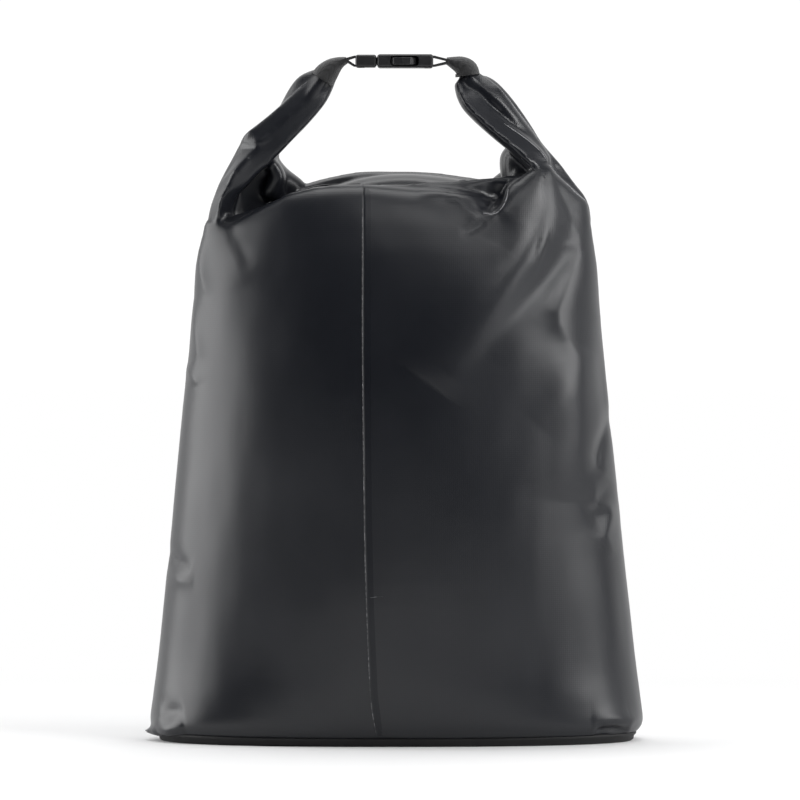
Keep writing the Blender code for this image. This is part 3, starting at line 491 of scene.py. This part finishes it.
def add_body(bm):
    """The filled tube, whose top edge dips and rises along the crest."""
    levels = smooth_path([((z, hx, fy), *rest) for z, hx, fy, *rest in BODY_LEVELS], 4)
    top = levels[-1][0]
    rings = []
    for z, half_x, front_y, back_y, square, blunt in levels:
        ring = []
        middle_y, half_y = (front_y + back_y) / 2, (back_y - front_y) / 2
        for x, y in outline(half_x, half_y, square, blunt, BODY_POINTS):
            y += middle_y
            level = z
            if z > CREST_FOOT:
                share = (z - CREST_FOOT) / (top - CREST_FOOT)
                level = CREST_FOOT + share * (crest_height(x) - CREST_FOOT)
                behind = np.clip((y - POCKET_FRONT_Y) / POCKET_SLOPE, 0, 1)
                near = np.clip(1 - abs((x - POCKET_X) / POCKET_HALF_WIDTH) ** 3, 0, 1)
                level -= POCKET_DEPTH * behind * near * share
            ring.append((x, y, level))
        rings.append(ring)
    add_rings(bm, rings)


def mirrored(stations):
    return [((-x, y, z), *rest) for (x, y, z), *rest in stations]


def new_object(name, mesh):
    obj = bpy.data.objects.new(name, mesh)
    bpy.context.scene.collection.objects.link(obj)
    return obj


def object_from(name, bm, mat=None):
    bmesh.ops.recalc_face_normals(bm, faces=bm.faces)
    mesh = bpy.data.meshes.new(name)
    bm.to_mesh(mesh)
    bm.free()
    mesh.shade_smooth()
    if mat:
        mesh.materials.append(mat)
    return new_object(name, mesh)


def apply_modifiers(obj):
    graph = bpy.context.evaluated_depsgraph_get()
    mesh = bpy.data.meshes.new_from_object(obj.evaluated_get(graph))
    obj.modifiers.clear()
    obj.data = mesh


def coordinates(mesh):
    co = np.empty(len(mesh.vertices) * 3)
    mesh.vertices.foreach_get("co", co)
    return co.reshape(-1, 3)


def vertex_normals(mesh):
    found = np.empty(len(mesh.vertices) * 3)
    mesh.vertex_normals.foreach_get("vector", found)
    return found.reshape(-1, 3)


# ---- creases ----------------------------------------------------------------------------------
def stroke_weights(co, points, left_width, right_width):
    """How near each point is to a line of (X, Z) points, from 0 to 1, faded out at the line's ends."""
    line = np.array(points, float)
    lengths = np.concatenate([[0], np.cumsum(np.linalg.norm(np.diff(line, axis=0), axis=1))])
    best = np.full(len(co), np.inf)
    along = np.zeros(len(co))
    side = np.zeros(len(co))
    flat = co[:, [0, 2]]
    for i in range(len(line) - 1):
        a, b = line[i], line[i + 1]
        d = b - a
        offset = flat - a
        t = np.clip((offset @ d) / (d @ d), 0, 1)
        away = np.linalg.norm(offset - t[:, None] * d, axis=1)
        nearer = away < best
        best = np.where(nearer, away, best)
        along = np.where(nearer, lengths[i] + t * (lengths[i + 1] - lengths[i]), along)
        side = np.where(nearer, d[0] * offset[:, 1] - d[1] * offset[:, 0], side)
    share = along / lengths[-1]
    fade = np.sin(np.pi * share) ** 0.8
    width = np.where(side > 0, left_width, right_width)
    power = ROUND_TOP if min(left_width, right_width) > SHARP_WIDTH else SHARP_TOP
    return np.exp(-((best / width) ** power)) * fade


def crease(co, normals, creases, side):
    """Moves the points that face one side (-1 the front, 1 the back) in or out along its creases."""
    facing = np.clip(EDGE_ON_SHARE + side * normals[:, 1], 0, 1)
    total = np.zeros(len(co))
    for depth, left_width, right_width, points in creases:
        line = np.array(points)
        reach = CREASE_REACH * max(left_width, right_width)
        low, high = line.min(axis=0) - reach, line.max(axis=0) + reach
        near = (co[:, 0] > low[0]) & (co[:, 0] < high[0]) & (co[:, 2] > low[1]) & (co[:, 2] < high[1])
        total[near] += depth * stroke_weights(co[near], points, left_width, right_width)
    return co + normals * (total * facing)[:, None]


# ---- materials --------------------------------------------------------------------------------
def node_material(name):
    mat = bpy.data.materials.new(name)
    mat.use_nodes = True
    return mat, mat.node_tree.nodes, mat.node_tree.links, mat.node_tree.nodes["Principled BSDF"]


def calc(nodes, links, kind, first, second=None):
    """A math node; each input is a socket or a number."""
    node = nodes.new("ShaderNodeMath")
    node.operation = kind
    for slot, value in zip(node.inputs, (first, second)):
        if value is None:
            continue
        if isinstance(value, (int, float)):
            slot.default_value = value
        else:
            links.new(value, slot)
    return node.outputs[0]


def threads(nodes, links, position, pitch):
    """Rounded threads side by side along one axis, as a height from 0 to 1."""
    wave = calc(nodes, links, "SINE", calc(nodes, links, "MULTIPLY", position, math.pi / pitch))
    return calc(nodes, links, "ABSOLUTE", wave)


def noise_value(nodes, links, vector, scale, detail=2.0):
    node = nodes.new("ShaderNodeTexNoise")
    node.inputs["Scale"].default_value = scale
    node.inputs["Detail"].default_value = detail
    links.new(vector, node.inputs["Vector"])
    return node.outputs["Fac"]


def bump(nodes, links, height, distance, strength=1.0, under=None):
    node = nodes.new("ShaderNodeBump")
    node.inputs["Distance"].default_value = distance
    node.inputs["Strength"].default_value = strength
    links.new(height, node.inputs["Height"])
    if under:
        links.new(under, node.inputs["Normal"])
    return node.outputs["Normal"]


def ramped(nodes, links, value, low, high, at=(0.35, 0.65)):
    node = nodes.new("ShaderNodeValToRGB")
    node.color_ramp.elements[0].position = at[0]
    node.color_ramp.elements[0].color = (*low, 1)
    node.color_ramp.elements[1].position = at[1]
    node.color_ramp.elements[1].color = (*high, 1)
    links.new(value, node.inputs[0])
    return node.outputs[0]


def ranged(nodes, links, value, low, high, source=(0.0, 1.0)):
    node = nodes.new("ShaderNodeMapRange")
    node.inputs["From Min"].default_value = source[0]
    node.inputs["From Max"].default_value = source[1]
    node.inputs["To Min"].default_value = low
    node.inputs["To Max"].default_value = high
    links.new(value, node.inputs["Value"])
    return node.outputs[0]


def weave_height(nodes, links, coords):
    """The scrim's grid as it shows through the coating, on whichever way the sheet faces."""
    split = nodes.new("ShaderNodeSeparateXYZ")
    links.new(coords.outputs["Object"], split.inputs[0])
    facing = nodes.new("ShaderNodeSeparateXYZ")
    geometry = nodes.new("ShaderNodeNewGeometry")
    links.new(geometry.outputs["Normal"], facing.inputs[0])
    across = calc(nodes, links, "ABSOLUTE", facing.outputs["X"])
    sideways = calc(nodes, links, "GREATER_THAN", across, SIDE_FACING)
    front = threads(nodes, links, split.outputs["X"], WEAVE)
    side = threads(nodes, links, split.outputs["Y"], WEAVE)
    pick = nodes.new("ShaderNodeMix")
    links.new(sideways, pick.inputs["Factor"])
    links.new(front, pick.inputs["A"])
    links.new(side, pick.inputs["B"])
    rows = threads(nodes, links, split.outputs["Z"], WEAVE)
    return calc(nodes, links, "MULTIPLY", pick.outputs[0], rows)


def tarpaulin(name, gloss):
    """Black coated tarpaulin: the scrim's grid shows through a soft gloss; sharp folds are coloured paler,
    partly as scuffs and partly as painted highlight along the fold edges.
    """
    mat, nodes, links, shader = node_material(name)
    shader.inputs["Specular IOR Level"].default_value = gloss
    coords = nodes.new("ShaderNodeTexCoord")
    clouds = noise_value(nodes, links, coords.outputs["Object"], 9, 4)
    scuffs = noise_value(nodes, links, coords.outputs["Object"], 160, 3)
    tint = ramped(nodes, links, clouds, (0.0066, 0.0076, 0.0106), (0.0088, 0.0099, 0.0134))
    geometry = nodes.new("ShaderNodeNewGeometry")
    # painted highlight: sharp convex folds are lightened towards a pale grey, partly scuffs and partly
    # standing in for the glints on fold edges
    wear = ranged(nodes, links, geometry.outputs["Pointiness"], 0.0, 1.0, (0.535, 0.60))
    wear = calc(nodes, links, "MULTIPLY", wear, ranged(nodes, links, scuffs, 0.2, 1.0, (0.4, 0.6)))
    mix = nodes.new("ShaderNodeMix")
    mix.data_type = "RGBA"
    links.new(calc(nodes, links, "MINIMUM", wear, 0.8), mix.inputs["Factor"])
    links.new(tint, mix.inputs["A"])
    mix.inputs["B"].default_value = (0.030, 0.031, 0.034, 1)
    links.new(mix.outputs["Result"], shader.inputs["Base Color"])
    links.new(ranged(nodes, links, clouds, 0.29, 0.37, (0.3, 0.7)), shader.inputs["Roughness"])
    grain = noise_value(nodes, links, coords.outputs["Object"], 900, 2)
    weave = bump(nodes, links, weave_height(nodes, links, coords), 0.00005, 0.5)
    links.new(bump(nodes, links, grain, 0.00003, 0.5, weave), shader.inputs["Normal"])
    return mat


def base_material():
    """The base panel's heavier, matt coating."""
    mat, nodes, links, shader = node_material("base_coating")
    coords = nodes.new("ShaderNodeTexCoord")
    dust = noise_value(nodes, links, coords.outputs["Object"], 60, 5)
    colour = ramped(nodes, links, dust, (0.004, 0.004, 0.005), (0.010, 0.010, 0.011))
    links.new(colour, shader.inputs["Base Color"])
    links.new(ranged(nodes, links, dust, 0.55, 0.75), shader.inputs["Roughness"])
    links.new(bump(nodes, links, dust, 0.0003, 0.5), shader.inputs["Normal"])
    return mat


def webbing():
    """Woven polyester webbing: two threads a step across, with a diagonal rib."""
    mat, nodes, links, shader = node_material("webbing")
    coords = nodes.new("ShaderNodeTexCoord")
    split = nodes.new("ShaderNodeSeparateXYZ")
    links.new(coords.outputs["Object"], split.inputs[0])
    along = calc(nodes, links, "SUBTRACT", split.outputs["X"], split.outputs["Z"])
    rib = calc(nodes, links, "ADD", along, calc(nodes, links, "MULTIPLY", split.outputs["Y"], 0.8))
    ribs = threads(nodes, links, rib, WEBBING_RIB)
    ends = threads(nodes, links, split.outputs["Y"], WEBBING_END)
    height = calc(nodes, links, "MULTIPLY", ribs, ends)
    # painted highlight and shade: the crowns of the threads are coloured lighter and the hollows between
    # them darker
    colour = ramped(nodes, links, height, (0.003, 0.003, 0.0035), (0.014, 0.014, 0.015), (0.1, 0.9))
    links.new(colour, shader.inputs["Base Color"])
    shader.inputs["Roughness"].default_value = 0.68
    shader.inputs["Sheen Weight"].default_value = 0.15
    links.new(bump(nodes, links, height, 0.0003, 0.8), shader.inputs["Normal"])
    return mat


def sewing_thread():
    """Bonded sewing thread, laid in close zigzag."""
    mat, nodes, links, shader = node_material("sewing_thread")
    coords = nodes.new("ShaderNodeTexCoord")
    split = nodes.new("ShaderNodeSeparateXYZ")
    links.new(coords.outputs["Object"], split.inputs[0])
    rise = calc(nodes, links, "MULTIPLY", split.outputs["Z"], 0.6)
    lay = calc(nodes, links, "ADD", split.outputs["X"], rise)
    height = threads(nodes, links, lay, STITCH)
    # painted highlight and shade: the crowns of the stitches are coloured lighter and the hollows between
    # them darker
    colour = ramped(nodes, links, height, (0.004, 0.004, 0.004), (0.030, 0.030, 0.031))
    links.new(colour, shader.inputs["Base Color"])
    shader.inputs["Roughness"].default_value = 0.5
    links.new(bump(nodes, links, height, 0.0003), shader.inputs["Normal"])
    return mat


def stiffener():
    """Extruded plastic strip with faint draw lines."""
    mat, nodes, links, shader = node_material("stiffener_plastic")
    coords = nodes.new("ShaderNodeTexCoord")
    stretch = nodes.new("ShaderNodeMapping")
    stretch.inputs["Scale"].default_value = (1, 60, 60)
    links.new(coords.outputs["Object"], stretch.inputs["Vector"])
    lines = noise_value(nodes, links, stretch.outputs[0], 40, 3)
    colour = ramped(nodes, links, lines, (0.010, 0.010, 0.011), (0.018, 0.018, 0.019))
    links.new(colour, shader.inputs["Base Color"])
    links.new(ranged(nodes, links, lines, 0.35, 0.5), shader.inputs["Roughness"])
    links.new(bump(nodes, links, lines, 0.0001, 0.4), shader.inputs["Normal"])
    return mat


def plastic():
    """Moulded acetal: a fine spark texture, with paler rubbed edges."""
    mat, nodes, links, shader = node_material("moulded_plastic")
    coords = nodes.new("ShaderNodeTexCoord")
    spark = noise_value(nodes, links, coords.outputs["Object"], 1500, 3)
    smudge = noise_value(nodes, links, coords.outputs["Object"], 70, 3)
    geometry = nodes.new("ShaderNodeNewGeometry")
    wear = ranged(nodes, links, geometry.outputs["Pointiness"], 0.0, 0.4, (0.52, 0.62))
    mix = nodes.new("ShaderNodeMix")
    mix.data_type = "RGBA"
    links.new(wear, mix.inputs["Factor"])
    links.new(ramped(nodes, links, smudge, (0.006, 0.006, 0.007), (0.011, 0.011, 0.012)), mix.inputs["A"])
    mix.inputs["B"].default_value = (0.022, 0.022, 0.023, 1)
    links.new(mix.outputs["Result"], shader.inputs["Base Color"])
    links.new(ranged(nodes, links, smudge, 0.30, 0.46), shader.inputs["Roughness"])
    links.new(bump(nodes, links, spark, 0.00004, 0.5), shader.inputs["Normal"])
    return mat


def cut_edge_and_glint_material(name, dark, pale):
    """A pale strip: the cut edge of the sheet, where the pale yarn ends of the scrim break the black
    coating; on the arms the same strips are also painted highlight standing in for glints along fold edges.
    """
    mat, nodes, links, shader = node_material(name)
    coords = nodes.new("ShaderNodeTexCoord")
    speckle = noise_value(nodes, links, coords.outputs["Object"], 420)
    colour = ramped(nodes, links, speckle, (0.035, 0.036, 0.040), (0.22, 0.22, 0.23), (dark, pale))
    links.new(colour, shader.inputs["Base Color"])
    shader.inputs["Roughness"].default_value = 0.6
    return mat


# ---- the shell --------------------------------------------------------------------------------
def unevenness(co, height, fineness, start):
    return height * np.array([noise.noise(Vector(place)) for place in co * fineness + start])


def ripples(co, normals):
    """The slight unevenness of a filled sheet: broad swells, and finer ones that run up and down."""
    amount = unevenness(co, *SWELLS) + unevenness(co, *RIPPLES)
    above_foot = np.clip((co[:, 2] - RIPPLE_FOOT) / RIPPLE_FADE, 0, 1)
    return co + normals * (amount * above_foot)[:, None]


def build_shell(mat):
    bm = bmesh.new()
    add_body(bm)
    add_fold(bm, ROLL)
    add_fold(bm, mirrored(ROLL))
    add_fold(bm, ROLL_MIDDLE)
    for stations in (*ROUND_FOLDS.values(), EAR):
        add_fold(bm, stations)
    for stations in FOLDED_FACES:
        add_faces(bm, stations)
    shell = object_from("shell", bm, mat)
    remesh = shell.modifiers.new("remesh", "REMESH")
    remesh.mode = "VOXEL"
    remesh.voxel_size = VOXEL
    apply_modifiers(shell)
    smooth = shell.modifiers.new("smooth", "SMOOTH")
    smooth.factor = 0.5
    smooth.iterations = SMOOTH_PASSES
    apply_modifiers(shell)
    mesh = shell.data
    normals = vertex_normals(mesh)
    moved = crease(coordinates(mesh), normals, CREASES, -1)
    moved = crease(moved, normals, BACK_CREASES, 1)
    moved = ripples(moved, normals)
    mesh.vertices.foreach_set("co", moved.ravel())
    mesh.update()
    smooth = shell.modifiers.new("smooth", "SMOOTH")
    smooth.factor = 0.5
    smooth.iterations = LAST_SMOOTH_PASSES
    apply_modifiers(shell)
    shell.data.shade_smooth()
    return shell


def split_shell(shell):
    """Cuts the shell in two under the lap."""
    halves = []
    for name, sign in (("shell_left", -1), ("shell_right", 1)):
        half = new_object(name, shell.data.copy())
        bm = bmesh.new()
        bm.from_mesh(half.data)
        geometry = bm.verts[:] + bm.edges[:] + bm.faces[:]
        bmesh.ops.bisect_plane(
            bm, geom=geometry, plane_co=(SPLIT_X, 0, 0), plane_no=(-sign, 0, 0), clear_outer=True
        )
        bm.to_mesh(half.data)
        bm.free()
        half.data.shade_smooth()
        halves.append(half)
    return halves


# ---- strips laid on the shell -------------------------------------------------------------------
def front_point(tree, x, z):
    """Where the shell's front is met at (x, z), and its normal there."""
    found, normal, _, _ = tree.ray_cast(Vector((x, RAY_Y, z)), Vector((0, 1, 0)))
    return found, normal


def line_points(points, step=0.0012):
    """Even points along a smooth curve through (X, Z) points."""
    path = smooth_path([((x, z), 0) for x, z in points], 12)[:, :2]
    lengths = np.concatenate([[0], np.cumsum(np.linalg.norm(np.diff(path, axis=0), axis=1))])
    wanted = np.linspace(0, lengths[-1], max(2, round(lengths[-1] / step)))
    return [(np.interp(w, lengths, path[:, 0]), np.interp(w, lengths, path[:, 1])) for w in wanted]


def add_edge(bm, tree, points, width, lift=0.00035, depth=0.0010):
    """A thin strip that lies along a line on the shell's front."""
    found = [front_point(tree, x, z) for x, z in line_points(points)]
    found = [(place, normal) for place, normal in found if place is not None]
    places, normals = (np.array(rows) for rows in zip(*found))
    for _ in range(EVENING_PASSES):
        places[1:-1, 1] = (places[:-2, 1] + 2 * places[1:-1, 1] + places[2:, 1]) / 4
        normals[1:-1] = (normals[:-2] + 2 * normals[1:-1] + normals[2:]) / 4
    rings = []
    for i, normal in enumerate(map(Vector, normals)):
        along = Vector(places[min(i + 1, len(found) - 1)] - places[max(i - 1, 0)]).normalized()
        side = along.cross(normal).normalized()
        taper = min(1.0, 0.3 + min(i, len(found) - 1 - i) / 8)
        out = Vector(places[i]) + normal * lift
        half = side * width / 2 * taper
        rings.append([out - half, out + half, out + half - normal * depth, out - half - normal * depth])
    add_rings(bm, rings)


def add_band(bm, tree, left, right, lift, across=6):
    """A strip between two lines of (X, Z) points, proud at its left edge and sunk at its right."""
    levels = np.arange(right[0][1], right[-1][1], 0.003)
    rows = []
    for z in levels:
        low, high = (np.interp(z, [q[1] for q in line], [q[0] for q in line]) for line in (left, right))
        row = []
        for x in np.linspace(low, high, across):
            place, normal = front_point(tree, x, z)
            row.append((place, normal))
        if all(place is not None for place, _ in row):
            share = np.linspace(1, -1, across)
            laid = [place + normal * lift * k for (place, normal), k in zip(row, share)]
            rows.append([row[0][0] - row[0][1] * lift, *laid])
    made = [[bm.verts.new(p) for p in row] for row in rows]
    for lower, upper in zip(made, made[1:]):
        for k in range(len(lower) - 1):
            bm.faces.new((lower[k], lower[k + 1], upper[k + 1], upper[k]))


def build_lap(tree, tarp, edge):
    """The body sheet's overlap: a welded strip with its cut edge on the left."""
    bm = bmesh.new()
    add_band(bm, tree, LAP_LEFT, LAP_RIGHT, 0.0004)
    lap = object_from("lap_seam", bm, tarp)
    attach(lap, "bag")
    bm = bmesh.new()
    for width, points in BAG_EDGES:
        add_edge(bm, tree, points, width, lift=0.0004)
    trim = object_from("lap_edge", bm, edge)
    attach(trim, "bag")


def build_base(mat):
    """The base panel's rim under the body, with its weld bead."""
    square, blunt = BODY_LEVELS[0][4:]
    bm = bmesh.new()
    rings = []
    for z, half_x, half_y in BASE_LEVELS:
        rings.append([(x, y, z) for x, y in outline(half_x, half_y, square, blunt, BASE_POINTS)])
    add_rings(bm, rings)
    rim = object_from("base_rim", bm, mat)
    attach(rim, "bag")
    return rim


def build_guides(mat):
    """The rails inside the socket's mouth that the plug's tongue runs between."""
    bm = bmesh.new()
    for low, high in GUIDE_BOXES:
        low, high = Vector(low), Vector(high)
        made = bmesh.ops.create_cube(bm, size=1)["verts"]
        bmesh.ops.scale(bm, vec=high - low, verts=made)
        bmesh.ops.translate(bm, vec=(low + high) / 2, verts=made)
    guides = object_from("socket_guides", bm, mat)
    guides.data.shade_flat()
    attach(guides, "right_arm")


def build_wrap(name, stations, body, mat):
    """Webbing folded over the end of the rolled mouth and sewn through."""
    bm = bmesh.new()
    add_fold(bm, stations, domed=False)
    wrap = object_from(name, bm, mat)
    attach(wrap, body)


def build_trims(tree, tarp, edge):
    """The cut edges, partly painted highlight of glints along the folds, and the rolled folds laid on each
    arm.
    """
    for name, lines, arm, mat in (
        ("left_cut_edges_and_glints", LEFT_EDGES_AND_GLINTS, "left_arm", edge),
        ("right_cut_edges_and_glints", RIGHT_EDGES_AND_GLINTS, "right_arm", edge),
        ("left_folded_edges", LEFT_BEADS, "left_arm", tarp),
        ("right_folded_edges", RIGHT_BEADS, "right_arm", tarp),
    ):
        bm = bmesh.new()
        for width, points in lines:
            add_edge(bm, tree, points, width)
        trim = object_from(name, bm, mat)
        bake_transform(trim)


def build_fabric():
    """Everything that is made of tarpaulin."""
    tarp = tarpaulin("tarpaulin", 0.5)
    welded = tarpaulin("welded_tarpaulin", 0.35)
    shell = build_shell(tarp)
    tree = BVHTree.FromObject(shell, bpy.context.evaluated_depsgraph_get())
    build_lap(tree, welded, cut_edge_and_glint_material("lap_cut_edge", 0.42, 0.66))
    rim = build_base(base_material())
    left_half, right_half = split_shell(shell)
    bpy.data.objects.remove(shell)
    for half, arm in ((left_half, "left_arm"), (right_half, "right_arm")):
        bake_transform(half)
    # painted highlight: the pale strips on the arms stand partly for cut edges and partly for glints on the
    # folds
    build_trims(tree, tarp, cut_edge_and_glint_material("cut_edge_and_glint", 0.25, 0.50))
    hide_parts("body_sheet", "left_arm_fabric", "left_arm_roll", "roll_centre")
    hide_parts("right_arm_fabric", "right_arm_roll")
    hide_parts("base_panel")


def dress(mat, *nodes):
    """Gives CAD pieces their finish."""
    for node in nodes:
        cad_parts[node].data.materials.clear()
        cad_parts[node].data.materials.append(mat)


def build_hardware():
    """Webbing, buckle, stitching and stiffeners."""
    woven = webbing()
    build_wrap("left_wrap", LEFT_WRAP, "left_arm", woven)
    build_wrap("right_wrap", RIGHT_WRAP, "right_arm", woven)
    moulded = plastic()
    build_guides(moulded)
    dress(moulded, "buckle_plug", "buckle_socket", "front_prong", "back_prong")
    dress(woven, "left_strap", "right_strap")
    dress(sewing_thread(), "left_bartack", "right_bartack")
    dress(stiffener(), "mouth_stiffener", "left_stiffener_end", "right_stiffener_end")


# ---- studio -----------------------------------------------------------------------------------
SOFTBOXES = [                 # name, place, what it faces, width, height, watts
    ("left_softbox", (-1.9, 0.1, 0.8), (0, 0, 0.28), 1.5, 1.8, 34),
    ("right_softbox", (1.8, -0.5, 1.0), (0, 0, 0.28), 0.9, 1.4, 21),
    ("top_softbox", (0.0, 0.3, 1.9), (0, 0, 0.28), 1.2, 1.2, 14),
    ("crest_softbox", (0.25, -0.9, 1.7), (0, 0, 0.44), 0.8, 0.3, 2.5),
    ("arm_softbox", (1.05, -0.95, 1.45), (0.09, 0, 0.44), 0.6, 0.6, 10.5),
]
FLOOR_HALF = 12.0
GLOW_FROM_Y = 0.15            # behind the bag the floor fades into a white backdrop
GLOW_FULL_Y = 0.9
CAMERA_DISTANCE = 6.0
CAMERA_RISE = 0.15            # the eye's height above what it looks at
LOOK_AT = Vector((0.0028, 0.0, 0.2735))
VIEW_WIDTH = 0.644            # seen across the picture at the bag


def aim(obj, at):
    obj.rotation_euler = (Vector(at) - obj.location).to_track_quat("-Z", "Y").to_euler()


def build_floor():
    """A pale floor, which glows white from behind the bag on, as a lit backdrop does."""
    floor_mat, nodes, links, shader = node_material("studio_floor")
    shader.inputs["Base Color"].default_value = (0.84, 0.84, 0.84, 1)
    shader.inputs["Roughness"].default_value = 0.8
    shader.inputs["Specular IOR Level"].default_value = 0.2
    coords = nodes.new("ShaderNodeTexCoord")
    split = nodes.new("ShaderNodeSeparateXYZ")
    links.new(coords.outputs["Object"], split.inputs[0])
    far = nodes.new("ShaderNodeMapRange")
    far.interpolation_type = "SMOOTHSTEP"
    far.inputs["From Min"].default_value = GLOW_FROM_Y
    far.inputs["From Max"].default_value = GLOW_FULL_Y
    links.new(split.outputs["Y"], far.inputs["Value"])
    glow = nodes.new("ShaderNodeEmission")
    glow.inputs["Color"].default_value = (1.0, 1.0, 1.0, 1)
    mix = nodes.new("ShaderNodeMixShader")
    links.new(far.outputs[0], mix.inputs[0])
    links.new(shader.outputs[0], mix.inputs[1])
    links.new(glow.outputs[0], mix.inputs[2])
    links.new(mix.outputs[0], nodes["Material Output"].inputs[0])
    bm = bmesh.new()
    bmesh.ops.create_grid(bm, x_segments=2, y_segments=2, size=FLOOR_HALF)
    object_from("studio_floor", bm, floor_mat)


def build_world():
    """A room that is dark on the camera's side and white behind the bag."""
    world = bpy.data.worlds.new("studio")
    bpy.context.scene.world = world
    world.use_nodes = True
    nodes, links = world.node_tree.nodes, world.node_tree.links
    coords = nodes.new("ShaderNodeTexCoord")
    split = nodes.new("ShaderNodeSeparateXYZ")
    links.new(coords.outputs["Generated"], split.inputs[0])
    light = ramped(nodes, links, split.outputs["Y"], (0.034, 0.036, 0.044), (1.05, 1.05, 1.05), (0.0, 0.5))
    links.new(light, nodes["Background"].inputs[0])


def build_lights():
    for name, place, at, width, height, watts in SOFTBOXES:
        light = bpy.data.lights.new(name, "AREA")
        light.shape = "RECTANGLE"
        light.size = width
        light.size_y = height
        light.energy = watts
        lamp = new_object(name, light)
        lamp.location = place
        aim(lamp, at)


def build_camera():
    camera = bpy.data.cameras.new("camera")
    camera.sensor_width = 36
    camera.lens = camera.sensor_width * CAMERA_DISTANCE / VIEW_WIDTH
    eye = new_object("camera", camera)
    eye.location = LOOK_AT + Vector((0, -CAMERA_DISTANCE, CAMERA_RISE))
    aim(eye, LOOK_AT)
    bpy.context.scene.camera = eye
    bpy.context.scene.view_settings.view_transform = "Standard"


build_fabric()
build_hardware()
build_floor()
build_world()
build_lights()
build_camera()
